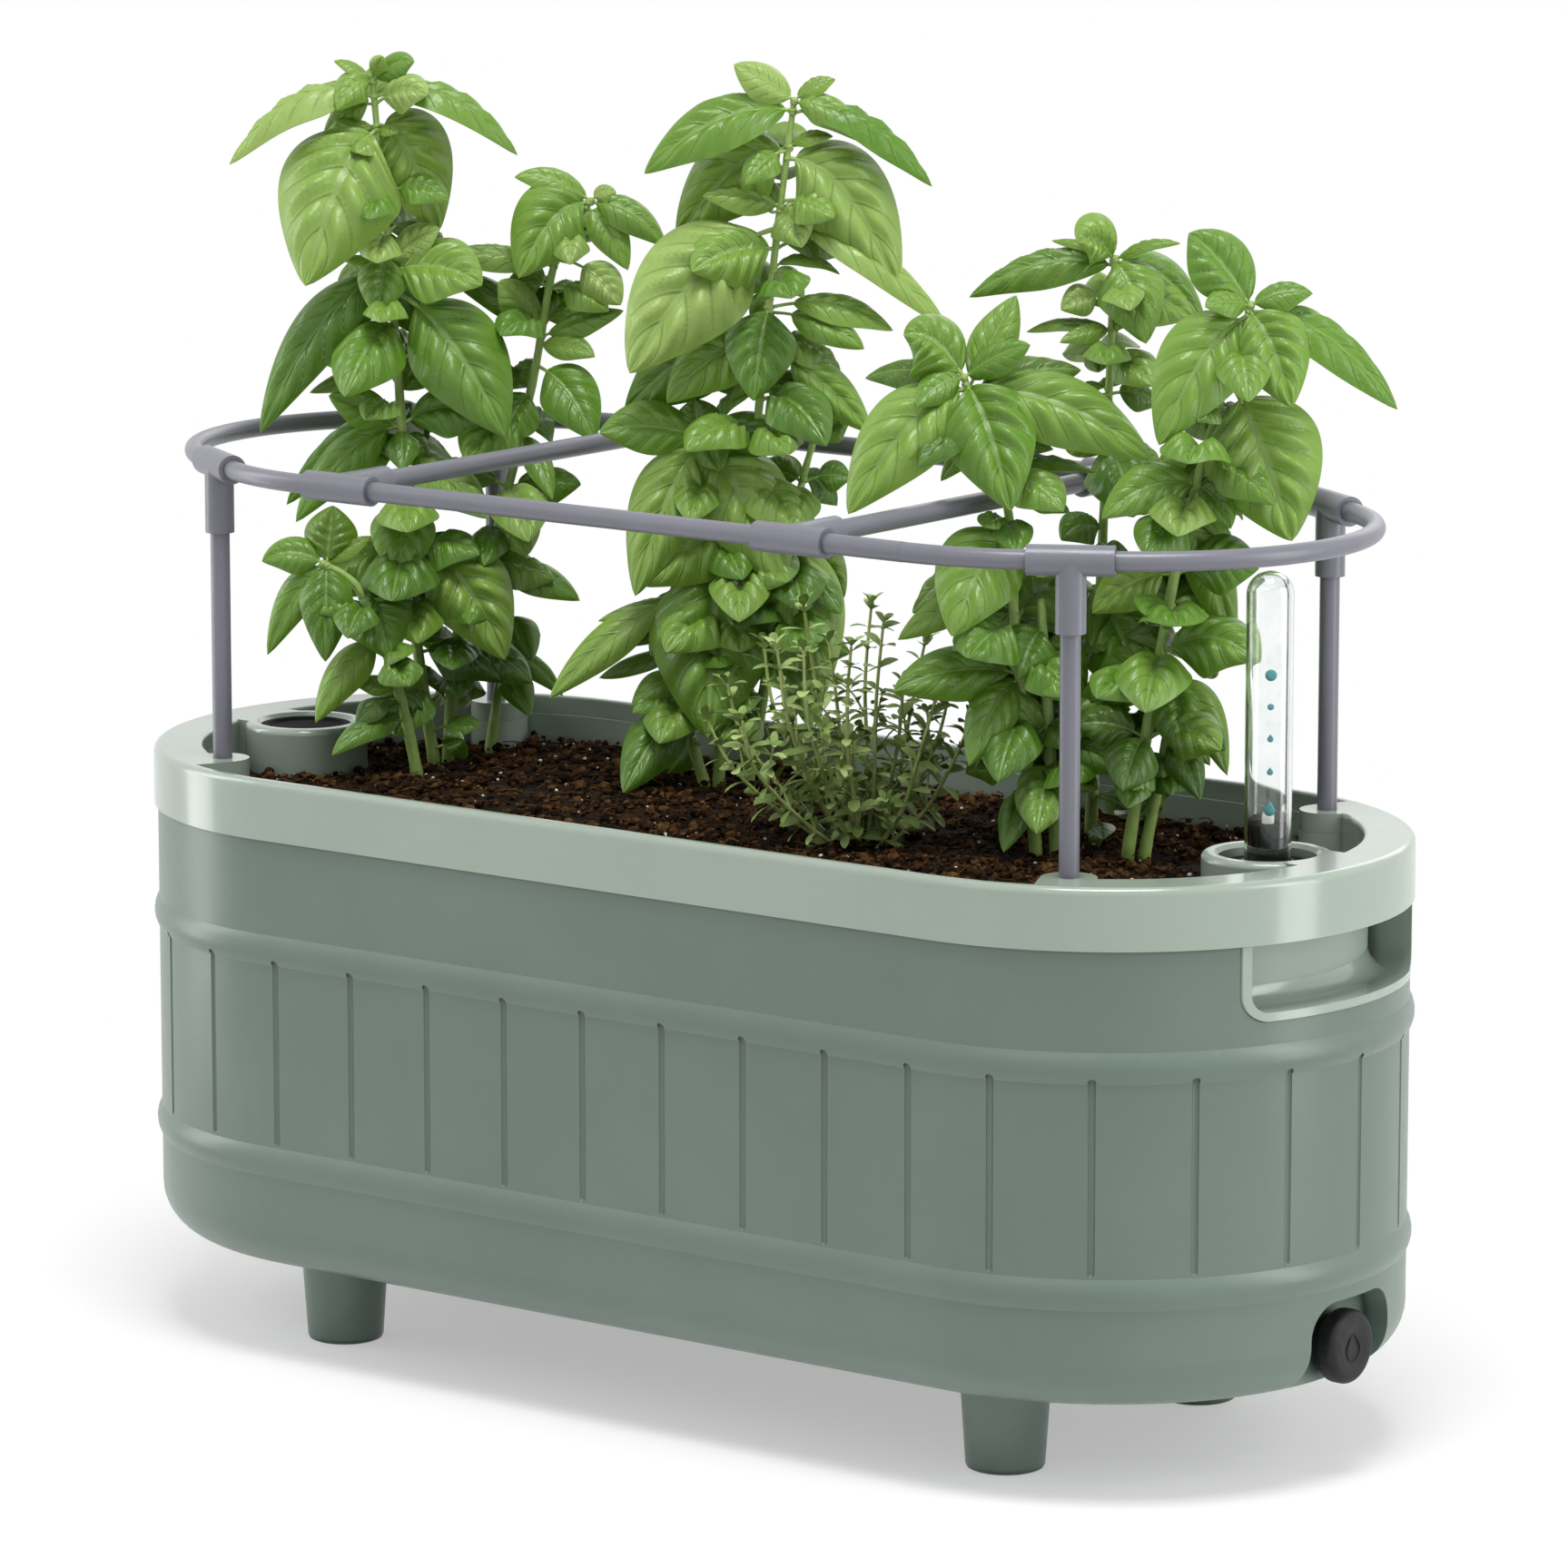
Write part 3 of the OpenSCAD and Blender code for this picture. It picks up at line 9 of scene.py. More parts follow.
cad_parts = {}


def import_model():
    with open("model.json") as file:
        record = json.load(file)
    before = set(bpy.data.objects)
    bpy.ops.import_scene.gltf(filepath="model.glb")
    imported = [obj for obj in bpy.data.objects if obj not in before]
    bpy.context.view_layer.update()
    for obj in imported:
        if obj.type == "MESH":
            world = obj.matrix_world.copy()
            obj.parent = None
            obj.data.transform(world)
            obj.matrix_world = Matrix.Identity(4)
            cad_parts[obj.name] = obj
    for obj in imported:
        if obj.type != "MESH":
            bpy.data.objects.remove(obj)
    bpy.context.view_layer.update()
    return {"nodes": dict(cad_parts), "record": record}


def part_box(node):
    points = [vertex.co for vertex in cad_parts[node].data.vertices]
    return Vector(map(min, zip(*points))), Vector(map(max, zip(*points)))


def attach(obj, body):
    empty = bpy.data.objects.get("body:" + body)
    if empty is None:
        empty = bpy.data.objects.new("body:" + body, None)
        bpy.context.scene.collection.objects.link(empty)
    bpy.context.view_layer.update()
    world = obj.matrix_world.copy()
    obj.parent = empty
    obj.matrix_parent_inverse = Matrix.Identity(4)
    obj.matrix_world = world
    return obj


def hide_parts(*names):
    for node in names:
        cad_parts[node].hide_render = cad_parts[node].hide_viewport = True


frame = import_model()
nodes = frame["nodes"]
MM = 0.001


def to_mm(point):
    """A point in mm, to one decimal."""
    return tuple(round(c / MM, 1) for c in point)


def highest(node):
    """Highest corner of a CAD node's box, in mm."""
    return to_mm(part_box(node)[1])


def middle(node):
    """Middle of a CAD node's box, in mm."""
    low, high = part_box(node)
    return to_mm((low + high) / 2)


# Places on the object, in mm. The plan is a stadium: HALF_RUN is half its straight length.
tub = highest("outer_tub")
HALF_RUN = tub[0] - tub[1]
# The soil's solid has low mounds on its level.
MOUND_H = 1.8
SOIL_Z = round(highest("soil")[2] - MOUND_H, 1)
RIM_Z = highest("liner_rim")[2]
RING_Z = middle("ring_front_middle")[2]
LEG_X, LEG_Y = (abs(c) for c in middle("leg_front_right")[:2])
WELL_X = -middle("fill_cap")[0]
BARS = [middle("crossbar_" + side)[0] for side in ("left", "right")]
# A quarter turn and a full one, as the plants use them.
QUARTER, FULL = 1.57, 6.28
# The camera's turn about Z. The clumps are set out in a frame with u to its right and w away from it.
TURN = math.radians(37.236)
COS_T, SIN_T = math.cos(TURN), math.sin(TURN)
# Side veins along a leaf, and how far each runs forward to the edge.
VEINS, VEIN_SWEEP = 5.5, 1.6


# ---- node helpers ----
class Mat:
    """A node material with one Principled shader and short helpers for its textures."""

    def __init__(self, name):
        self.m = bpy.data.materials.new(name)
        self.m.use_nodes = True
        self.t = self.m.node_tree
        self.p = self.t.nodes["Principled BSDF"]
        self.out = self.t.nodes["Material Output"]
        self.co = self.t.nodes.new("ShaderNodeTexCoord").outputs["Object"]

    def node(self, kind, **inputs):
        n = self.t.nodes.new(kind)
        for k, v in inputs.items():
            self.put(n.inputs[k.replace("_", " ")], v)
        return n

    def put(self, socket, v):
        if isinstance(v, bpy.types.NodeSocket):
            self.t.links.new(v, socket)
        else:
            socket.default_value = v

    def set(self, **inputs):
        for k, v in inputs.items():
            self.put(self.p.inputs[k.replace("_", " ")], v)

    def noise(self, scale, detail=3.0, rough=0.55, distort=0.0):
        n = self.node("ShaderNodeTexNoise", Vector=self.co, Scale=scale, Detail=detail, Roughness=rough,
                      Distortion=distort)
        return n.outputs["Fac"]

    def voronoi(self, scale):
        return self.node("ShaderNodeTexVoronoi", Vector=self.co, Scale=scale).outputs["Distance"]

    def math(self, op, a, b=0.0, c=0.0):
        n = self.t.nodes.new("ShaderNodeMath")
        n.operation = op
        for s, v in zip(n.inputs, (a, b, c)):
            self.put(s, v)
        return n.outputs[0]

    def span(self, v, a, b, c=0.0, d=1.0):
        """Smooth step of v from c at a to d at b."""
        n = self.node("ShaderNodeMapRange")
        n.interpolation_type = "SMOOTHSTEP"
        for s, x in zip(n.inputs, (v, a, b, c, d)):
            self.put(s, x)
        return n.outputs[0]

    def ramp(self, fac, *stops):
        n = self.t.nodes.new("ShaderNodeValToRGB")
        while len(n.color_ramp.elements) < len(stops):
            n.color_ramp.elements.new(0.5)
        for e, (pos, col) in zip(n.color_ramp.elements, stops):
            e.position = pos
            e.color = rgb(col)
        self.put(n.inputs[0], fac)
        return n.outputs[0]

    def mix(self, fac, a, b):
        n = self.t.nodes.new("ShaderNodeMix")
        n.data_type = "RGBA"
        for s, v in ((n.inputs[0], fac), (n.inputs[6], a), (n.inputs[7], b)):
            self.put(s, rgb(v) if isinstance(v, str) else v)
        return n.outputs[2]

    def bump(self, height, strength, distance, under=None):
        n = self.node("ShaderNodeBump", Strength=strength, Distance=distance, Height=height)
        if under:
            self.put(n.inputs["Normal"], under)
        return n.outputs[0]

    def attr(self, name):
        n = self.t.nodes.new("ShaderNodeAttribute")
        n.attribute_name = name
        return n.outputs["Color"]

    def split(self, v):
        n = self.t.nodes.new("ShaderNodeSeparateXYZ")
        self.put(n.inputs[0], v)
        return n.outputs


def rgb(text):
    """Linear colour of a hex sRGB colour."""
    v = [int(text[i:i + 2], 16) / 255 for i in (1, 3, 5)]
    return tuple(c / 12.92 if c <= 0.04045 else ((c + 0.055) / 1.055) ** 2.4 for c in v) + (1.0,)


# ---- materials of the moulded pieces ----
def moulded(name, dark, mid, light, shade, rough, peel, sway, coat=0.0):
    """Moulded plastic: slow colour drift, fine speckle, orange peel, uneven gloss and painted shade in its grooves."""
    m = Mat(name)
    drift = m.noise(9.0, 4.0, 0.6)
    col = m.ramp(drift, (0.3, dark), (0.5, mid), (0.7, light))
    speck = m.noise(1400.0, 2.0, 0.6)
    col = m.mix(m.span(speck, 0.55, 0.75, 0.0, 0.12), col, light)
    # Painted shade: ambient occlusion darkens the colour towards the shade colour in grooves and seams.
    groove_shade = m.node("ShaderNodeAmbientOcclusion", Distance=0.005).outputs["AO"]
    col = m.mix(m.span(groove_shade, 0.95, 0.35, 0.0, 0.8), col, shade)
    scuff = m.noise(60.0, 6.0, 0.7, distort=0.4)
    worn = m.math("ADD", m.math("MULTIPLY", scuff, 0.6), m.math("MULTIPLY", drift, 0.4))
    m.set(Base_Color=col, Roughness=m.span(worn, 0.3, 0.7, rough - 0.03, rough + 0.04))
    fine = m.bump(m.noise(700.0, 2.0, 0.5), peel, 0.0004)
    m.set(Normal=m.bump(m.noise(7.0, 2.0, 0.4), sway, 0.004, fine))
    if coat:
        m.set(Coat_Weight=coat, Coat_Roughness=0.12)
    return m.m


def black_plastic(name, base, rough, grain, gloss):
    """Black plastic or rubber: fine mottle, a little dust and a grained skin."""
    m = Mat(name)
    n = m.noise(220.0, 4.0, 0.65)
    dust = m.noise(35.0, 6.0, 0.7)
    col = m.ramp(n, (0.3, base), (0.75, "#272728"))
    col = m.mix(m.span(dust, 0.56, 0.8, 0.0, 0.1), col, "#4a4945")
    m.set(Base_Color=col, Roughness=m.span(dust, 0.3, 0.7, rough - 0.06, rough + 0.1), Specular_IOR_Level=gloss,
          Normal=m.bump(m.noise(1100.0, 2.0, 0.6), grain, 0.0003))
    return m.m


def clear_plastic():
    """Clear tube with a faint haze and slightly uneven walls."""
    m = Mat("clear_acrylic")
    haze = m.noise(90.0, 4.0, 0.7)
    m.set(Base_Color=m.ramp(haze, (0.3, "#f3f8f6"), (0.7, "#ffffff")), Roughness=m.span(haze, 0.4, 0.75, 0.02, 0.07),
          Transmission_Weight=1.0, IOR=1.47, Normal=m.bump(m.noise(60.0, 2.0, 0.5), 0.03, 0.0005))
    return m.m


def white_plastic():
    """White of the float and its stem, faintly mottled."""
    m = Mat("float_white")
    n = m.noise(160.0, 4.0, 0.6)
    m.set(Base_Color=m.ramp(n, (0.35, "#e9e8e2"), (0.65, "#f6f5f1")), Roughness=m.span(n, 0.3, 0.7, 0.38, 0.5),
          Normal=m.bump(m.noise(600.0, 2.0, 0.5), 0.05, 0.0003))
    return m.m


def teal_print():
    """Ink of the gauge's marks."""
    m = Mat("teal_print")
    n = m.noise(700.0, 3.0, 0.6)
    m.set(Base_Color=m.ramp(n, (0.3, "#3f7f80"), (0.7, "#58989a")), Roughness=m.span(n, 0.3, 0.7, 0.4, 0.55),
          Normal=m.bump(n, 0.08, 0.0001))
    return m.m


def soil_material():
    """Dark peat with browner grains; a crumb's own tone shifts it."""
    m = Mat("potting_soil")
    tone = m.split(m.attr("tone"))
    big = m.noise(45.0, 5.0, 0.65)
    fine = m.noise(420.0, 5.0, 0.7)
    mixd = m.math("ADD", m.math("MULTIPLY", big, 0.45), m.math("MULTIPLY", fine, 0.4))
    mixd = m.math("ADD", mixd, m.math("MULTIPLY", tone[0], 0.25))
    col = m.ramp(mixd, (0.3, "#070402"), (0.47, "#1a1108"), (0.6, "#3f2a16"), (0.8, "#7e5c36"))
    m.set(Base_Color=col, Roughness=m.span(fine, 0.2, 0.8, 0.8, 1.0), Specular_IOR_Level=0.08,
          Normal=m.bump(fine, 0.9, 0.0012, m.bump(big, 0.6, 0.003)))
    return m.m


def perlite_material():
    """Pale pitted grains in the soil."""
    m = Mat("perlite")
    n = m.noise(500.0, 4.0, 0.65)
    m.set(Base_Color=m.ramp(n, (0.3, "#b9ad98"), (0.7, "#ece6da")), Roughness=m.span(n, 0.3, 0.7, 0.75, 0.95),
          Normal=m.bump(m.voronoi(900.0), 0.5, 0.0006))
    return m.m


def leaf_material(name, under):
    """Leaf skin: a paler midrib and side veins from the leaf's own map, the side veins painted darker on the upper skin
    as shade in their grooves, puckered skin, and light let through.
    """
    m = Mat(name)
    uv = m.split(m.node("ShaderNodeUVMap").outputs[0])
    tint_and_shade = m.split(m.attr("tint_and_shade"))
    x = m.math("ABSOLUTE", m.math("MULTIPLY_ADD", uv[0], 2.0, -1.0))
    phase = m.math("SUBTRACT", m.math("MULTIPLY", uv[1], VEINS), m.math("MULTIPLY", x, VEIN_SWEEP))
    saw = m.math("ABSOLUTE", m.math("MULTIPLY_ADD", m.math("FRACT", phase), 2.0, -1.0))
    side = m.math("MULTIPLY", m.span(saw, 0.8, 1.0), m.span(x, 1.0, 0.6))
    rib = m.span(x, 0.07, 0.015)
    mottle = m.noise(130.0, 4.0, 0.6)
    # The first channel of the tint holds painted light and shade as well as the leaf's own tone.
    if under:
        base = m.ramp(tint_and_shade[0], (0.0, "#5c8434"), (0.5, "#7d9f4a"), (1.0, "#9db85f"))
        light, dark = "#b7ca83", "#a3bb6a"
    else:
        base = m.ramp(tint_and_shade[0], (0.0, "#41701a"), (0.35, "#649829"), (0.7, "#8db649"), (1.0, "#b1ce72"))
        light, dark = "#a9c578", "#456f22"
    base = m.mix(m.math("MULTIPLY", tint_and_shade[1], 0.6), base, "#9db13f")
    base = m.mix(m.span(mottle, 0.35, 0.7, 0.0, 0.3), base, "#86ab55")
    # Painted shade: on the upper skin the side veins darken, as shade in their grooves; on the under skin they are
    # paler.
    base = m.mix(m.math("MULTIPLY", side, 0.42), base, dark)
    base = m.mix(m.math("MULTIPLY", rib, 0.6), base, light)
    cell = m.voronoi(520.0)
    vein = m.math("MAXIMUM", rib, side)
    height = m.math("SUBTRACT", m.math("MULTIPLY", cell, 0.3), vein)
    bump = m.bump(height, 0.4, 0.0007)
    m.set(Base_Color=base, Roughness=m.span(mottle, 0.3, 0.7, 0.3, 0.42), Specular_IOR_Level=0.65, Normal=bump)
    thin = m.node("ShaderNodeBsdfTranslucent", Color=m.mix(0.5, base, "#b5cf3a"), Normal=bump)
    both = m.node("ShaderNodeMixShader", Fac=0.34)
    m.put(both.inputs[1], m.p.outputs[0])
    m.put(both.inputs[2], thin.outputs[0])
    m.put(m.out.inputs["Surface"], both.outputs[0])
    return m.m


def stem_material(name, low, high, light):
    """Stem skin with fine upright streaks."""
    m = Mat(name)
    n = m.noise(160.0, 4.0, 0.6)
    run = m.node("ShaderNodeTexNoise", Scale=1.0, Detail=3.0)
    squeeze = m.node("ShaderNodeMapping")
    m.put(squeeze.inputs["Vector"], m.co)
    squeeze.inputs["Scale"].default_value = (900, 900, 60)
    m.put(run.inputs["Vector"], squeeze.outputs[0])
    col = m.mix(m.span(n, 0.3, 0.7), low, high)
    col = m.mix(m.span(run.outputs["Fac"], 0.5, 0.75, 0.0, 0.4), col, light)
    m.set(Base_Color=col, Roughness=m.span(n, 0.3, 0.7, 0.4, 0.55), Specular_IOR_Level=0.4,
          Subsurface_Weight=0.15, Subsurface_Radius=(0.002, 0.003, 0.001), Subsurface_Scale=0.6,
          Normal=m.bump(run.outputs["Fac"], 0.25, 0.0004))
    return m.m


TUB = moulded("tub_plastic", "#63746a", "#66776d", "#6a7b71", "#36413b", 0.33, 0.16, 0.03)
LINER = moulded("liner_plastic", "#96a397", "#99a69a", "#9da99d", "#7c897f", 0.2, 0.05, 0.015, 0.3)
WALL = moulded("liner_wall_plastic", "#96a397", "#99a69a", "#9da99d", "#7c897f", 0.46, 0.1, 0.015)
GREY = moulded("trellis_coat", "#6f7079", "#73737d", "#797983", "#54545c", 0.33, 0.1, 0.03)
BLACK = black_plastic("black_plastic", "#161617", 0.5, 0.12, 0.22)
LID = black_plastic("lid_plastic", "#161616", 0.75, 0.3, 0.06)
RUBBER = black_plastic("black_rubber", "#121213", 0.52, 0.3, 0.3)
CLEAR, WHITE, TEAL = clear_plastic(), white_plastic(), teal_print()
SOIL, PERLITE = soil_material(), perlite_material()
LEAF, LEAF_UNDER = leaf_material("basil_leaf", False), leaf_material("basil_leaf_under", True)
STEM = stem_material("basil_stem", "#8aa954", "#a0bb69", "#c0d08f")
SLOTS = {"tub_green": TUB, "liner_green": LINER, "trellis_grey": GREY, "black_plastic": BLACK, "black_rubber": RUBBER,
         "clear_plastic": CLEAR, "float_white": WHITE, "potting_soil": SOIL, "basil_green": LEAF, "thyme_green": LEAF}
# Nodes with another finish than their slot's.
FINISH = {"fill_cap": LID, "gauge_lid": LID, "inner_liner": WALL, "well_shaft_left": WALL, "well_shaft_right": WALL}
for part in frame["record"]["subparts"]:
    o = nodes[part["node"]]
    o.data.materials.clear()
    o.data.materials.append(FINISH.get(part["node"], SLOTS[part["material_slot"]]))


# ---- mesh helpers ----
class Soup:
    """Collects vertices, faces, face materials, a colour per vertex and a map, then makes one object."""

    def __init__(self):
        self.v, self.f, self.mi, self.c, self.uv = [], [], [], [], []

    def grid(self, pts, uvs, colour, mat=0, flip=False):
        """Sheet through rows of points."""
        rows, cols = len(pts), len(pts[0])
        s = len(self.v)
        for r in range(rows):
            for k in range(cols):
                self.v.append(tuple(pts[r][k]))
                self.c.append(colour)
                self.uv.append(uvs[r][k])
        for r in range(rows - 1):
            for k in range(cols - 1):
                q = [s + r * cols + k, s + r * cols + k + 1, s + (r + 1) * cols + k + 1, s + (r + 1) * cols + k]
                self.f.append(q[::-1] if flip else q)
                self.mi.append(mat)

    def tube(self, pts, radii, sides, colour, mat=0, cap=True):
        """Tube along a line, with a radius at each of its points."""
        pts = [Vector(p) for p in pts]
        s = len(self.v)
        side = None
        for i, p in enumerate(pts):
            way = (pts[min(i + 1, len(pts) - 1)] - pts[max(i - 1, 0)]).normalized()
            if side is None:
                side = way.orthogonal().normalized()
            side = (side - way * side.dot(way)).normalized()
            other = way.cross(side)
            for k in range(sides):
                a = 2 * math.pi * k / sides
                self.v.append(tuple(p + radii[i] * (math.cos(a) * side + math.sin(a) * other)))
                self.c.append(colour)
                self.uv.append((k / sides, i / len(pts)))
        for i in range(len(pts) - 1):
            for k in range(sides):
                n = (k + 1) % sides
                self.f.append((s + i * sides + k, s + i * sides + n, s + (i + 1) * sides + n, s + (i + 1) * sides + k))
                self.mi.append(mat)
        if cap:
            self.f.append(tuple(s + k for k in range(sides))[::-1])
            self.f.append(tuple(s + (len(pts) - 1) * sides + k for k in range(sides)))
            self.mi += [mat, mat]

    def lump(self, centre, size, rng, colour, mat=0):
        """Uneven lump with twenty faces."""
        s = len(self.v)
        for x, y, z in LUMP_V:
            k = rng.uniform(0.65, 1.15)
            self.v.append((centre[0] + size[0] * x * k, centre[1] + size[1] * y * k, centre[2] + size[2] * z * k))
            self.c.append(colour)
            self.uv.append((0.5, 0.5))
        for f in LUMP_F:
            self.f.append(tuple(s + i for i in f))
            self.mi.append(mat)

    def make(self, name, mats, attribute, body, slot, smooth=True):
        """One object, in metres, that rides a body; the slot is not used."""
        me = bpy.data.meshes.new(name)
        me.from_pydata([(x * MM, y * MM, z * MM) for x, y, z in self.v], [], self.f)
        for m in mats:
            me.materials.append(m)
        me.polygons.foreach_set("material_index", self.mi)
        me.polygons.foreach_set("use_smooth", [smooth] * len(self.f))
        layer = me.attributes.new(attribute, "FLOAT_COLOR", "POINT")
        layer.data.foreach_set("color", np.array(self.c, np.float32).ravel())
        uv = me.uv_layers.new(name="UVMap")
        loops = np.zeros(len(me.loops), np.int32)
        me.loops.foreach_get("vertex_index", loops)
        uv.data.foreach_set("uv", np.array(self.uv, np.float32)[loops].ravel())
        me.update()
        o = bpy.data.objects.new(name, me)
        bpy.context.scene.collection.objects.link(o)
        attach(o, body)
        return o


def icosahedron():
    """Corners, at a distance of 1, and faces of a regular twenty-sided solid."""
    g = (1 + 5 ** 0.5) / 2
    v = [Vector(p).normalized() for p in ((-1, g, 0), (1, g, 0), (-1, -g, 0), (1, -g, 0), (0, -1, g), (0, 1, g),
                                          (0, -1, -g), (0, 1, -g), (g, 0, -1), (g, 0, 1), (-g, 0, -1), (-g, 0, 1))]
    f = [(0, 11, 5), (0, 5, 1), (0, 1, 7), (0, 7, 10), (0, 10, 11), (1, 5, 9), (5, 11, 4), (11, 10, 2), (10, 7, 6),
         (7, 1, 8), (3, 9, 4), (3, 4, 2), (3, 2, 6), (3, 6, 8), (3, 8, 9), (4, 9, 5), (2, 4, 11), (6, 2, 10), (8, 6, 7),
         (9, 8, 1)]
    return [tuple(p) for p in v], f


LUMP_V, LUMP_F = icosahedron()


def world(u, w, z):
    """Point in the object's frame, in mm, of one set out in the clumps' turned frame."""
    return Vector((u * COS_T - w * SIN_T, u * SIN_T + w * COS_T, z))


def smooth_line(points, steps):
    """Points on a smooth curve through the given ones."""
    p = [Vector(points[0])] + [Vector(q) for q in points] + [Vector(points[-1])]
    out = []
    for i in range(1, len(p) - 2):
        for k in range(steps):
            t = k / steps
            a, b, c, d = p[i - 1], p[i], p[i + 1], p[i + 2]
            out.append(0.5 * (2 * b + (c - a) * t + (2 * a - 5 * b + 4 * c - d) * t * t
                              + (3 * b - a - 3 * c + d) * t ** 3))
    out.append(p[-2])
    return out


# ---- basil ----
# A stem is (clump, w, (u, z) points from the soil up).
STEMS = [
    (0, 146, ((-141, SOIL_Z), (-150, 296), (-155, 391), (-160, 456), (-165, 520))),
    (0, 120, ((-147, SOIL_Z), (-155, 263), (-170, 304), (-186, 317))),
    (0, 157, ((-136, SOIL_Z), (-131, 282), (-116, 319), (-99, 388), (-89, 440), (-74, 466))),
    (0, 179, ((-119, SOIL_Z), (-115, 253), (-110, 290))),
    (1, 97, ((-20, SOIL_Z), (-17, 267), (-10, 321), (-5, 363), (3, 443), (12, 515))),
    (1, 97, ((-25, SOIL_Z), (-32, 259), (-19, 315), (-27, 373))),
    (1, 97, ((-8, SOIL_Z), (2, 281), (8, 310), (14, 349), (20, 372))),
    (2, -59, ((109, SOIL_Z), (100, 315), (96, 370), (79, 419))),
    (2, -19, ((132, SOIL_Z), (136, 346), (140, 462))),
    (2, -72, ((144, SOIL_Z), (165, 354), (192, 451))),
    (2, -59, ((117, SOIL_Z), (111, 315), (110, 330))),
    (2, -68, ((151, SOIL_Z), (161, 280), (163, 300))),
]
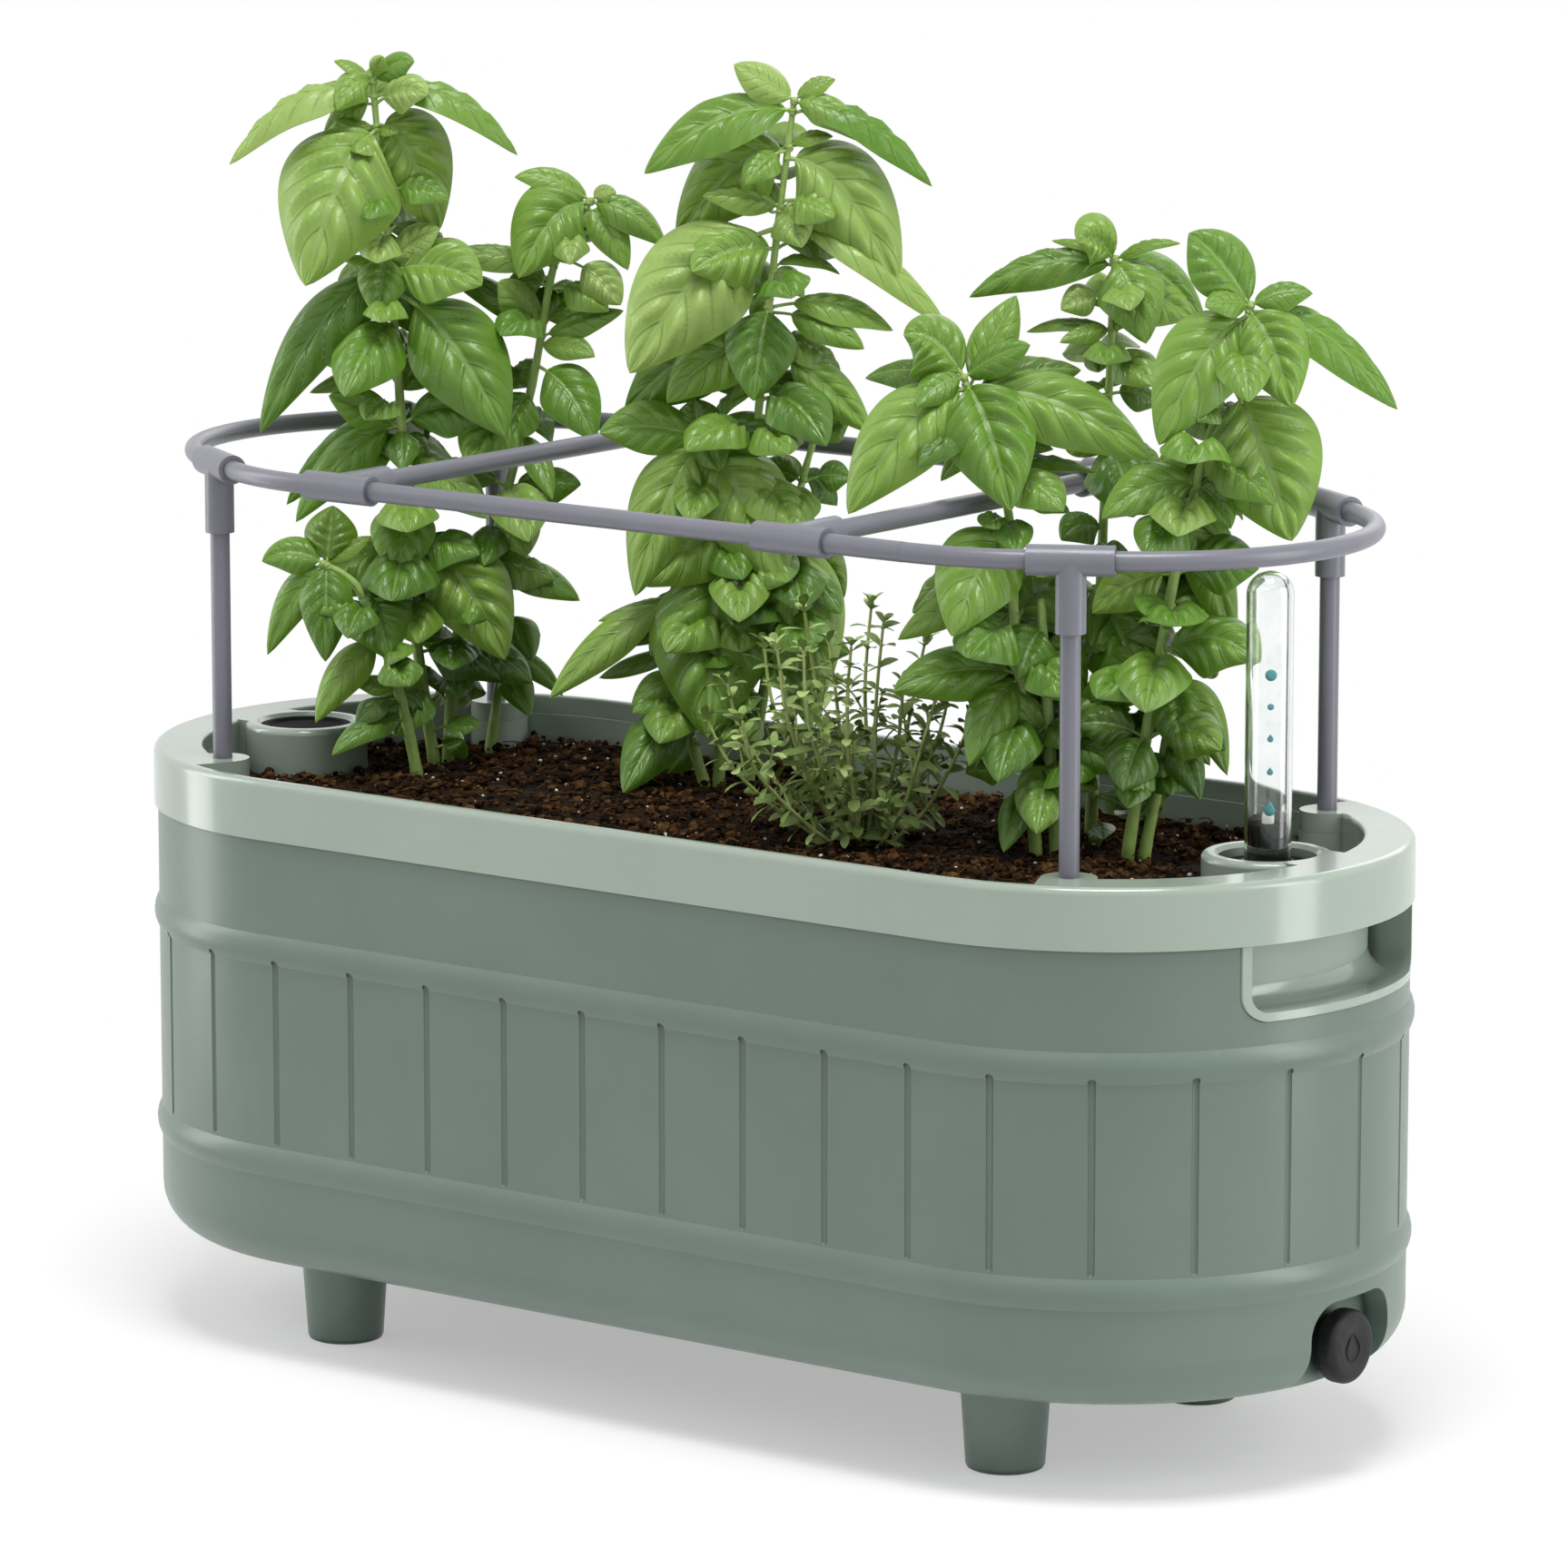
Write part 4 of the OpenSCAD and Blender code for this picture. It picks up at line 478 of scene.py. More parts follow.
# A leaf is (stem, height of its foot, tip's u, z and w, width, arch, share of its face turned to the front, stalk).
LEAVES = [
    (0, 517, -181, 526, 146, 7, 2, 0.3, 0), (0, 517, -147, 525, 140, 11, 3, 0.6, 0),
    (0, 517, -179, 504, 132, 13, 5, 0.7, 0), (0, 518, -160, 527, 138, 6, 1, 0.8, 0),
    (0, 511, -225, 482, 140, 20, 13, 0.15, 4), (0, 511, -104, 486, 140, 20, 12, 0.2, 4),
    (0, 497, -181, 502, 150, 5, 1, 0.3, 0), (0, 497, -154, 495, 138, 6, 1, 0.4, 0),
    (0, 497, -192, 429, 112, 42, 12, 0.75, 6), (0, 499, -138, 454, 150, 30, 12, 0.7, 6),
    (0, 443, -164, 456, 155, 10, 1, 0.6, 0), (0, 441, -137, 455, 140, 13, 2, 0.6, 0),
    (0, 443, -163, 417, 130, 17, 4, 0.85, 2), (0, 440, -181, 443, 146, 5, 1, 0.4, 0),
    (0, 437, -213, 368, 132, 21, 14, 0.5, 12), (0, 433, -179, 407, 140, 9, 3, 0.6, 3),
    (0, 430, -143, 408, 156, 13, 3, 0.6, 2), (0, 430, -109, 366, 118, 32, 10, 0.75, 18),
    (0, 396, -174, 391, 155, 7, 2, 0.4, 2), (0, 394, -193, 386, 150, 9, 3, 0.5, 3),
    (0, 385, -143, 405, 160, 16, 2, 0.6, 2), (0, 370, -184, 384, 135, 14, 2, 0.7, 4),
    (0, 370, -153, 352, 128, 12, 3, 0.8, 3), (0, 372, -198, 330, 128, 16, 9, 0.6, 8),
    (0, 373, -203, 338, 146, 15, 10, 0.5, 8), (0, 371, -192, 352, 150, 12, 5, 0.6, 6),
    (0, 372, -113, 371, 138, 20, 8, 0.6, 4), (0, 366, -143, 356, 150, 11, 2, 0.6, 2),
    (0, 340, -154, 305, 120, 22, 5, 0.85, 4), (0, 326, -163, 304, 138, 9, 3, 0.6, 2),
    (0, 326, -147, 304, 155, 15, 4, 0.6, 4), (0, 322, -110, 271, 122, 29, 12, 0.8, 18),
    (0, 286, -139, 284, 150, 13, 2, 0.6, 1), (0, 258, -159, 254, 122, 17, 3, 0.8, 1),
    (0, 240, -121, 242, 135, 10, 3, 0.4, 8), (0, 233, -128, 237, 130, 13, 0, 0.9, 8),
    (1, 316, -182, 337, 125, 18, 1, 0.6, 2), (1, 317, -212, 313, 120, 14, 4, 0.6, 1),
    (1, 316, -166, 324, 125, 7, 2, 0.3, 1), (1, 316, -185, 270, 108, 18, 6, 0.8, 3),
    (1, 315, -210, 273, 118, 13, 8, 0.6, 4), (1, 300, -158, 271, 108, 23, 6, 0.8, 2),
    (1, 284, -189, 244, 100, 14, 6, 0.6, 3), (1, 262, -174, 261, 118, 8, 2, 0.5, 2),
    (1, 258, -163, 247, 112, 9, 2, 0.6, 1), (1, 250, -182, 230, 96, 10, 5, 0.5, 2),
    (2, 466, -106, 478, 157, 11, 4, 0.5, 0), (2, 465, -104, 434, 140, 27, 9, 0.8, 3),
    (2, 466, -63, 471, 157, 8, 2, 0.5, 0), (2, 465, -42, 448, 150, 14, 6, 0.5, 3),
    (2, 463, -58, 438, 150, 13, 4, 0.7, 3), (2, 441, -61, 423, 145, 15, 5, 0.7, 14),
    (2, 440, -77, 446, 150, 5, 1, 0.5, 0), (2, 438, -140, 443, 150, 11, 4, 0.5, 4),
    (2, 408, -60, 421, 150, 10, 2, 0.5, 3), (2, 404, -72, 401, 145, 10, 3, 0.6, 1),
    (2, 408, -135, 436, 165, 11, 6, 0.5, 4), (2, 406, -113, 433, 150, 14, 4, 0.6, 2),
    (2, 396, -72, 365, 135, 20, 6, 0.75, 8), (2, 396, -110, 388, 165, 12, 3, 0.5, 1),
    (2, 385, -113, 362, 140, 18, 3, 0.7, 3), (2, 368, -90, 340, 135, 9, 3, 0.6, 4),
    (2, 335, -101, 316, 140, 17, 4, 0.7, 3), (2, 322, -105, 306, 160, 10, 3, 0.6, 2),
    (2, 308, -79, 297, 150, 14, 5, 0.5, 8), (3, 266, -140, 271, 165, 19, 4, 0.6, 2),
    (3, 285, -100, 271, 165, 13, 3, 0.7, 2), (3, 262, -101, 247, 165, 12, 4, 0.6, 2),
    (3, 270, -87, 256, 175, 9, 4, 0.4, 2), (4, 514, -13, 529, 97, 14, 1, 0.6, 0),
    (4, 514, 29, 523, 100, 8, 2, 0.4, 0), (4, 510, -50, 483, 88, 24, 9, 0.45, 3),
    (4, 513, 40, 496, 88, 13, 6, 0.5, 2), (4, 509, 69, 478, 92, 18, 12, 0.2, 4), (4, 495, 28, 499, 95, 7, 2, 0.4, 0),
    (4, 494, -37, 457, 105, 28, 9, 0.65, 4), (4, 490, 55, 435, 88, 32, 14, 0.7, 5),
    (4, 470, -26, 474, 90, 12, 2, 0.5, 0), (4, 468, 15, 452, 84, 16, 3, 0.85, 0),
    (4, 470, -1, 483, 104, 6, 1, 0.5, 0), (4, 470, 24, 465, 100, 8, 2, 0.4, 0),
    (4, 461, -56, 399, 70, 38, 12, 0.75, 15), (4, 462, 76, 418, 85, 16, 10, 0.35, 14),
    (4, 445, 31, 442, 100, 7, 5, 0.3, 2), (4, 443, 16, 432, 95, 9, 3, 0.6, 1), (4, 428, 53, 418, 92, 15, 6, 0.4, 10),
    (4, 426, 41, 410, 86, 13, 4, 0.6, 10), (4, 428, -5, 388, 78, 24, 5, 0.85, 4),
    (4, 432, -5, 420, 105, 10, 2, 0.6, 2), (4, 418, -59, 385, 110, 27, 8, 0.65, 12),
    (4, 412, 44, 375, 88, 15, 4, 0.7, 14), (4, 396, 30, 390, 105, 12, 4, 0.5, 3),
    (4, 394, 24, 383, 100, 12, 3, 0.6, 3), (4, 402, -15, 389, 100, 6, 2, 0.5, 1),
    (4, 315, -3, 293, 105, 12, 2, 0.7, 2), (4, 288, 11, 270, 104, 9, 2, 0.5, 2),
    (6, 372, 35, 380, 100, 10, 2, 0.5, 0), (6, 372, 12, 384, 100, 10, 2, 0.6, 0),
    (6, 356, 30, 345, 105, 14, 4, 0.5, 2), (6, 330, 33, 306, 100, 17, 5, 0.6, 8),
    (6, 335, 18, 251, 70, 29, 8, 0.8, 8), (5, 373, -69, 375, 88, 19, 4, 0.7, 2),
    (5, 373, 12, 371, 92, 17, 4, 0.65, 3), (5, 374, -30, 390, 100, 15, 1, 0.8, 0),
    (5, 374, -19, 359, 84, 13, 2, 0.85, 0), (5, 370, -54, 306, 70, 25, 10, 0.75, 4),
    (5, 368, 7, 310, 72, 32, 9, 0.75, 5), (5, 322, -24, 246, 66, 42, 8, 0.85, 8),
    (5, 330, -48, 311, 105, 16, 3, 0.6, 2), (5, 322, -42, 300, 112, 14, 3, 0.6, 2),
    (5, 312, -90, 263, 75, 14, 8, 0.6, 30), (5, 304, -70, 296, 92, 9, 3, 0.4, 8),
    (5, 295, -77, 287, 100, 12, 3, 0.5, 10), (5, 296, -48, 281, 88, 17, 4, 0.7, 6),
    (5, 285, -70, 272, 105, 8, 2, 0.5, 14), (5, 274, -56, 260, 85, 13, 4, 0.5, 4),
    (5, 262, -59, 223, 62, 19, 5, 0.7, 4), (5, 244, -41, 231, 105, 13, 3, 0.5, 3),
    (7, 419, 55, 434, -62, 24, 6, 0.6, 0), (7, 419, 60, 405, -72, 12, 3, 0.7, 0),
    (7, 419, 105, 430, -66, 12, 2, 0.6, 0), (7, 414, 100, 451, -45, 15, 1, 0.6, 4),
    (7, 412, 126, 421, -45, 16, 4, 0.5, 5), (7, 414, 153, 384, -72, 25, 8, 0.6, 6),
    (7, 416, 97, 363, -85, 30, 7, 0.8, 3), (7, 415, 33, 362, -80, 27, 9, 0.65, 5),
    (7, 412, 40, 418, -40, 13, 6, 0.5, 6), (7, 410, 48, 405, -42, 11, 4, 0.5, 6),
    (7, 396, 70, 376, -55, 9, 3, 0.5, 2), (7, 394, 115, 389, -50, 9, 2, 0.5, 2),
    (7, 384, 132, 380, -45, 9, 4, 0.2, 3), (7, 370, 122, 364, -40, 14, 5, 0.5, 2),
    (7, 358, 74, 313, -85, 28, 6, 0.75, 3), (7, 335, 53, 312, -62, 12, 4, 0.6, 10),
    (7, 325, 82, 305, -40, 13, 3, 0.6, 3), (7, 300, 51, 291, -78, 19, 5, 0.65, 4),
    (7, 298, 81, 261, -85, 16, 6, 0.7, 3), (7, 256, 95, 226, -80, 10, 3, 0.6, 2),
    (10, 318, 101, 296, -75, 19, 4, 0.75, 3), (10, 312, 128, 289, -50, 17, 4, 0.7, 3),
    (10, 274, 146, 284, -62, 15, 3, 0.6, 3), (10, 270, 147, 257, -75, 14, 5, 0.55, 3),
    (10, 270, 84, 260, -78, 13, 4, 0.6, 2), (10, 272, 97, 291, -66, 13, 1, 0.6, 1),
    (10, 262, 104, 241, -75, 13, 4, 0.7, 1), (8, 459, 82, 452, -15, 16, 7, 0.45, 2),
    (8, 461, 125, 473, -30, 20, 4, 0.7, 0), (8, 462, 115, 475, -12, 5, 2, 0.3, 0),
    (8, 461, 166, 473, -25, 6, 3, 0.3, 1), (8, 460, 152, 432, -38, 22, 6, 0.8, 2),
    (8, 460, 178, 440, -5, 18, 8, 0.6, 4), (8, 433, 105, 438, -15, 8, 3, 0.3, 1),
    (8, 433, 118, 433, -28, 8, 2, 0.4, 0), (8, 433, 146, 441, -25, 7, 1, 0.4, 0),
    (8, 446, 131, 449, -20, 4, 0, 0.4, 0), (8, 382, 120, 402, -8, 16, 2, 0.6, 1),
    (8, 380, 160, 384, -10, 16, 4, 0.5, 2), (8, 352, 119, 353, -30, 15, 4, 0.5, 2),
    (8, 334, 178, 325, -60, 24, 5, 0.6, 3), (8, 330, 131, 309, -40, 8, 2, 0.6, 2),
    (8, 322, 152, 288, -55, 28, 5, 0.8, 4), (8, 243, 152, 239, -40, 10, 3, 0.5, 3),
    (8, 231, 136, 231, -45, 10, 0, 0.9, 3), (9, 449, 167, 474, -70, 22, 3, 0.6, 0),
    (9, 449, 173, 444, -84, 10, 2, 0.6, 0), (9, 449, 216, 450, -72, 11, 3, 0.5, 0),
    (9, 447, 207, 404, -90, 25, 6, 0.8, 3), (9, 447, 250, 404, -72, 20, 10, 0.4, 6),
    (9, 445, 155, 389, -90, 28, 9, 0.7, 5), (9, 420, 208, 351, -85, 38, 6, 0.85, 12),
    (9, 378, 133, 360, -84, 17, 6, 0.6, 2), (9, 378, 196, 367, -76, 12, 5, 0.45, 2),
    (9, 377, 184, 356, -84, 14, 4, 0.7, 1), (9, 398, 187, 382, -55, 13, 5, 0.5, 2),
    (9, 362, 187, 307, -60, 16, 8, 0.55, 4), (9, 330, 183, 305, -60, 9, 4, 0.5, 4),
    (11, 296, 166, 264, -88, 17, 5, 0.75, 3), (11, 298, 184, 257, -76, 14, 9, 0.6, 4),
    (11, 285, 178, 261, -60, 10, 4, 0.5, 4), (11, 272, 173, 247, -84, 13, 6, 0.6, 2),
    (11, 262, 158, 265, -72, 9, 1, 0.6, 1), (11, 258, 159, 249, -80, 6, 3, 0.4, 1),
]
# Depth of each clump, at which the heights above hold, and the fall of the line of sight per mm of depth.
CLUMP_W = (146.0, 97.0, -50.0)
VIEW_DROP = 0.18
# Thickness of a leaf, a stem's radius at the soil and its taper, and the size of the knuckle at a leaf's foot.
SKIN = 0.3
STEM_R, STEM_TAPER = 2.7, 1.4
KNUCKLE = (2.3, 2.3, 1.8)
# Height of the lowest filling pair above the soil, and how far under the stem's tip the pairs end.
LOWEST_PAIR, TOP_CLEAR = 34, 12


def stem_at(s, z):
    """Point (u, w, z) of a stem at a height."""
    pts = s[2]
    for (u0, z0), (u1, z1) in zip(pts, pts[1:]):
        if z <= z1 or (u1, z1) == pts[-1]:
            t = min(1.0, max(0.0, (z - z0) / (z1 - z0)))
            return Vector((u0 + (u1 - u0) * t, s[1], z0 + (z1 - z0) * t))


def blade_width(k):
    """Half outline of an egg-shaped blade with a round foot and a drawn-out tip."""
    return max(0.0, math.sin(math.pi * k ** 0.84)) ** 0.78


def basil_leaf(soup, row, rng):
    """One leaf: a domed and quilted blade of two skins, with its stalk and midrib."""
    si, foot_z, tip_u, tip_z, tip_w, width, arch, face, stalk = row
    s = STEMS[si]
    a = stem_at(s, foot_z)
    c = Vector((tip_u, tip_w, tip_z - VIEW_DROP * (tip_w - CLUMP_W[s[0]])))
    b = (a + c) / 2 + Vector((0, 0, 2 * arch))
    start = min(0.6, max(stalk, 1.5) / (c - a).length)
    rows, cols = (44, 10) if width > 22 else (28, 7) if width > 14 else (18, 5)
    wide = width * (1.26 if width > 11 else 1.34)
    dome = rng.uniform(0.22, 0.42)
    curl = rng.uniform(0.12, 0.5)
    quilt = rng.uniform(0.15, 0.25)
    wave = rng.uniform(0.0, 0.1)
    turn = rng.uniform(0, FULL)
    top, low, uvs = [], [], []
    half = wide / 2

    def at(t):
        p = (1 - t) ** 2 * a + 2 * t * (1 - t) * b + t * t * c
        way = ((1 - t) * (b - a) + t * (c - b)).normalized()
        across = Vector((0, -face, 1 - face)).cross(way).normalized()
        return p, way, across, way.cross(across)

    for r in range(rows + 1):
        k = r / rows
        p, way, across, up = at(start + (1 - start) * k)
        h = half * blade_width(k)
        line, under, uv = [], [], []
        for j in range(-cols, cols + 1):
            e = j / cols
            x = abs(e)
            phase = k * VEINS - x * VEIN_SWEEP
            pucker = h * quilt * math.sin(math.pi * phase) ** 2 * (1 - x ** 3) * min(1.0, 2.5 * x)
            rise = h * (dome * math.sin(math.pi * x ** 0.8) * 0.5 - curl * x * x) + pucker
            rise += wave * h * x * math.sin(8 * k + turn + (2 if e > 0 else 0))
            q = p + across * (h * e) + up * rise
            line.append(world(*q))
            under.append(world(*(q - up * SKIN)))
            uv.append(((e + 1) / 2, k))
        top.append(line)
        low.append(under)
        uvs.append(uv)
    # Painted light and shade in the leaf's colour: lighter on leaves high up and on those turned to the front, darker
    # on leaves low inside the clump and on those behind their stem, which are also painted yellower, as lit from
    # behind.
    shade = rng.uniform(0.12, 0.82) + (0.25 if foot_z > 440 else 0.0) + 0.1 * (face - 0.5)
    inside = min(1.0, max(0.0, (SOIL_Z + 110 - foot_z) / 110))
    back = 0.22 if tip_w > s[1] + 2 else 0.0
    young = 0.5 if width < 9 and foot_z > 300 else 0.1
    yellow = min(1.0, 1.8 * back * rng.random() + young)
    tint_and_shade = (min(1.0, max(0.0, shade - 0.22 * inside - back)), yellow, rng.random(), 1.0)
    soup.grid(top, uvs, tint_and_shade, 0)
    soup.grid(low, uvs, tint_and_shade, 1, flip=True)
    steps = [start * i / 3 for i in range(4)] + [start + (1 - start) * 0.05]
    r0 = min(1.1, 0.45 + width / 45)
    soup.tube([world(*(at(t)[0] - at(t)[3] * SKIN)) for t in steps],
              [r0 * k for k in (1.15, 1.0, 0.9, 0.9, 0.7)], 6, tint_and_shade, 2)
    rib = [start + (1 - start) * k for k in (0.02, 0.2, 0.4, 0.6, 0.8, 0.95)]
    soup.tube([world(*(at(t)[0] - at(t)[3] * 0.35)) for t in rib],
              [r0 * k for k in (0.75, 0.62, 0.5, 0.4, 0.28, 0.14)], 5, tint_and_shade, 2)


# How far out from the middle line a leaf may reach: anywhere, lower than RIM_OVER above the rim, and within
# RING_OVER of the trellis ring's height.
OPEN_REACH, RIM_REACH, RING_REACH = 112.0, 96.0, 101.0
RIM_OVER, RING_OVER = 17.0, 14.0
# Room kept round the bars, the legs, the fill cap and the gauge. The legs' room is centred LEG_OUT outside them,
# and the room round the last two ends at a height.
BAR_ROOM, LEG_ROOM, CAP_ROOM, GAUGE_ROOM = 8.0, 14.0, 26.0, 24.0
LEG_OUT = 6.5
CAP_TOP, GAUGE_TOP = 290.0, 372.0


def free(p, room):
    """Whether a leaf may reach a point: clear of the trellis, the wells, the liner and the soil."""
    ax, ay = abs(p.x), abs(p.y)
    out = math.hypot(max(0.0, ax - HALF_RUN), ay)
    if p.z < SOIL_Z + 5 + room * 0.3 or out > OPEN_REACH - room / 2:
        return False
    if p.z < RIM_Z + RIM_OVER and out > RIM_REACH - room:
        return False
    near_bar = min(abs(p.x - x) for x in BARS) < BAR_ROOM + room
    if abs(p.z - RING_Z) < RING_OVER + room and (out > RING_REACH - room or near_bar):
        return False
    if math.hypot(ax - LEG_X, ay - LEG_Y - LEG_OUT) < LEG_ROOM + room:
        return False
    if math.hypot(p.x + WELL_X, p.y) < CAP_ROOM + room and p.z < CAP_TOP:
        return False
    return math.hypot(p.x - WELL_X, p.y) > GAUGE_ROOM + room or p.z > GAUGE_TOP


def filler(n, rng):
    """Leaf rows that fill a clump: crossed pairs up each stem, and longer ones behind and before it, where they fit."""
    rows = []
    for si, s in enumerate(STEMS):
        if s[0] != n:
            continue
        top = s[2][-1][1]
        z = SOIL_Z + LOWEST_PAIR
        turn = rng.uniform(0, FULL)
        while z < top - TOP_CLEAR:
            foot = stem_at(s, z)
            grown = (0.5 + 0.5 * min(1.0, (z - SOIL_Z) / 80)) * (1.0 if z < top - 60 else 0.7)
            ways = [(turn, 26, 48), (turn + math.pi, 26, 48), (math.pi / 2, 44, 66)]
            if rng.random() < 0.35:
                ways.append((-math.pi / 2, 34, 50))
            for a, least, most in ways:
                a += rng.uniform(-0.4, 0.4)
                far = rng.uniform(least, most) * grown
                wide = far * rng.uniform(0.46, 0.6)
                arch = far * rng.uniform(0.08, 0.2)
                tip = foot + Vector((far * math.cos(a), far * math.sin(a), far * rng.uniform(-0.6, 0.2)))
                crest = (foot + tip) / 2 + Vector((0, 0, arch))
                if free(world(*tip), 3) and free(world(*crest), wide / 2):
                    tip_z = tip.z + VIEW_DROP * (tip.y - CLUMP_W[n])
                    face, stalk = rng.uniform(0.3, 0.7), rng.uniform(3, 8)
                    rows.append((si, z, tip.x, tip_z, tip.y, wide, arch, face, stalk))
            turn += QUARTER
            z += rng.uniform(15, 24)
    return rows


def basil():
    """Three clumps, each one object: stems, a knuckle at each leaf's foot, and the leaves."""
    plain = (0.5, 0.2, 0.5, 1.0)
    for n, side in enumerate(("left", "middle", "right")):
        rng = random.Random(40 + n)
        soup = Soup()
        for si, s in enumerate(STEMS):
            if s[0] != n:
                continue
            line = smooth_line([world(u, s[1], z) for u, z in s[2]], 8)
            line[0].z -= 4
            count = len(line) - 1
            radii = [STEM_R - STEM_TAPER * i / count + 0.12 * math.sin(i * 1.9) for i in range(count + 1)]
            soup.tube(line, radii, 8, plain, 2)
            for row in LEAVES:
                if row[0] == si:
                    soup.lump(world(*stem_at(s, row[1])), KNUCKLE, rng, plain, 2)
        for row in LEAVES + filler(n, random.Random(90 + n)):
            if STEMS[row[0]][0] == n:
                basil_leaf(soup, row, rng)
        o = soup.make("basil_plants_" + side, [LEAF, LEAF_UNDER, STEM], "tint_and_shade", "liner", "basil_green")
        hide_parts("basil_" + side)


# ---- thyme ----
# The foot, in mm, the stems' reach from left to right, their depth, and their least and added height.
THYME_X, THYME_Y = 49, 1
THYME_STEMS = 19
THYME_LEFT, THYME_RUN, THYME_DEPTH = -64, 112, 34
THYME_LOW, THYME_RISE = 34, 66


def thyme_materials():
    """Leaf and stem of the thyme: small matt leaves, paler and yellower stems."""
    m = Mat("thyme_leaf")
    tint_and_shade = m.split(m.attr("tint_and_shade"))
    n = m.noise(300.0, 4.0, 0.6)
    base = m.ramp(tint_and_shade[0], (0.0, "#5d7634"), (0.5, "#87a256"), (1.0, "#b6c884"))
    base = m.mix(m.span(n, 0.35, 0.7, 0.0, 0.3), base, "#9db06e")
    m.set(Base_Color=base, Roughness=m.span(n, 0.3, 0.7, 0.5, 0.68), Specular_IOR_Level=0.35,
          Normal=m.bump(n, 0.3, 0.0004))
    return m.m, stem_material("thyme_stem", "#a0ae62", "#bac480", "#d2d8a0")


def thyme():
    """Stems that lie outwards from one foot and then rise, with crossed pairs of leaves."""
    leaf_mat, stem_mat = thyme_materials()
    rng = random.Random(7)
    soup = Soup()
    plain = (0.5, 0.5, 0.5, 1)
    foot = Vector((THYME_X, THYME_Y, SOIL_Z - 2))
    for i in range(THYME_STEMS):
        a = (i + 0.5) / THYME_STEMS
        reach = THYME_LEFT + THYME_RUN * a + rng.uniform(-5, 5)
        depth = THYME_DEPTH * math.sin(2.4 * i)
        high = THYME_LOW + THYME_RISE * math.sin(math.pi * (0.14 + 0.72 * a)) * rng.uniform(0.55, 1.0)
        start = foot + world(0.16 * reach, 0.2 * depth, 0)
        low = foot + world(0.55 * reach, 0.6 * depth, high * 0.3)
        bend = foot + world(0.84 * reach, 0.9 * depth, high * 0.66)
        tip = foot + world(reach, depth, high)
        line = smooth_line([start, low, bend + Vector((rng.uniform(-3, 3), rng.uniform(-3, 3), 0)), tip], 8)
        soup.tube(line, [1.05 - 0.5 * k / len(line) for k in range(len(line))], 6, plain, 1)
        sprig(soup, line, rng, 3, 1.0)
        for j in (5, 9, 13):
            base = line[j]
            end = base + Vector((rng.uniform(-13, 13), rng.uniform(-13, 13), rng.uniform(8, 18)))
            side = smooth_line([base, base.lerp(end, 0.5) + Vector((0, 0, 2)), end], 3)
            soup.tube(side, [0.55 - 0.2 * k / len(side) for k in range(len(side))], 5, plain, 1)
            sprig(soup, side, rng, 2, 0.75)
    o = soup.make("thyme_plant", [leaf_mat, stem_mat], "tint_and_shade", "liner", "thyme_green")
    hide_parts("thyme")


def sprig(soup, line, rng, first, scale):
    """Pairs of small leaves at every second point, each turned a quarter from the last, and a tuft at the tip."""
    turn = rng.uniform(0, FULL)
    for k in range(first, len(line)):
        last = k == len(line) - 1
        if (k - first) % 2 and not last:
            continue
        p = line[k]
        way = (line[k] - line[k - 1]).normalized()
        side = way.orthogonal().normalized()
        other = way.cross(side)
        turn += QUARTER
        for half in ((0, QUARTER, 2 * QUARTER, 3 * QUARTER) if last else (0, 2 * QUARTER)):
            out = (math.cos(turn + half) * side + math.sin(turn + half) * other)
            out = (out + way * (1.1 if last else rng.uniform(0.15, 0.6))).normalized()
            long = scale * rng.uniform(8.0, 11.5) * (0.75 if last else 1.0)
            wide = long * rng.uniform(0.21, 0.28)
            across = out.cross(way).normalized()
            up = across.cross(out)
            droop = rng.uniform(0.0, 0.25)
            pts, uvs = [], []
            for t, h in ((0, 0.12), (0.15, 0.35), (0.35, 0.85), (0.6, 1.0), (0.8, 0.85), (0.93, 0.5), (1, 0.08)):
                c = p + out * (long * t) + Vector((0, 0, -droop * long * t * t)) + up * (0.4 * math.sin(3.14 * t))
                rise = up * (0.22 * wide * h)
                pts.append([c - across * (wide * h) + rise, c - across * (wide * h * 0.5) + rise * 0.2, c,
                            c + across * (wide * h * 0.5) + rise * 0.2, c + across * (wide * h) + rise])
                uvs.append([(e / 4, t) for e in range(5)])
            soup.grid(pts, uvs, (rng.uniform(0.05, 0.95), 0, 0, 1), 0)


# ---- soil ----
# Radii of the bed, of its ends under the decks, of the wells and of the leg bosses, in mm.
BED_R, DECK_R, WELL_R, BOSS_R = 113.0, 100.0, 27.0, 12.0
# Half angle of a deck, in degrees, and half width of a handle cup.
DECK_ANGLE, CUP_HALF = 62.5, 17.0
# Pitch and half counts of the surface's grid, half the box that the pieces are drawn in, and how many there are.
PITCH, GRID_X, GRID_Y = 3.0, 92, 38
BED_HALF_X, BED_HALF_Y = 268, 113
CRUMBS, GRAINS, FIBRES = 7600, 240, 520


def in_bed(x, y, margin):
    """Whether a point lies over the soil, clear of the walls, wells and leg bosses."""
    ax = abs(x)
    over = max(0.0, ax - HALF_RUN)
    if math.hypot(over, y) > BED_R - margin:
        return False
    under_deck = over > 0 and abs(math.degrees(math.atan2(y, over))) < DECK_ANGLE
    if under_deck and math.hypot(over, y) > DECK_R - margin:
        return False
    if math.hypot(ax - WELL_X, y) < WELL_R + margin or (ax > WELL_X and abs(y) < CUP_HALF + margin):
        return False
    return math.hypot(ax - LEG_X, abs(y) - LEG_Y) > BOSS_R + margin


def ground(x, y):
    """Height of the heaped soil."""
    p = Vector((x, y, 0))
    heap = 2.6 * noise.noise(p * 0.022) + 2.0 * noise.noise(p * 0.07 + Vector((9, 3, 0)))
    return SOIL_Z + max(0.6, 2.0 + heap)


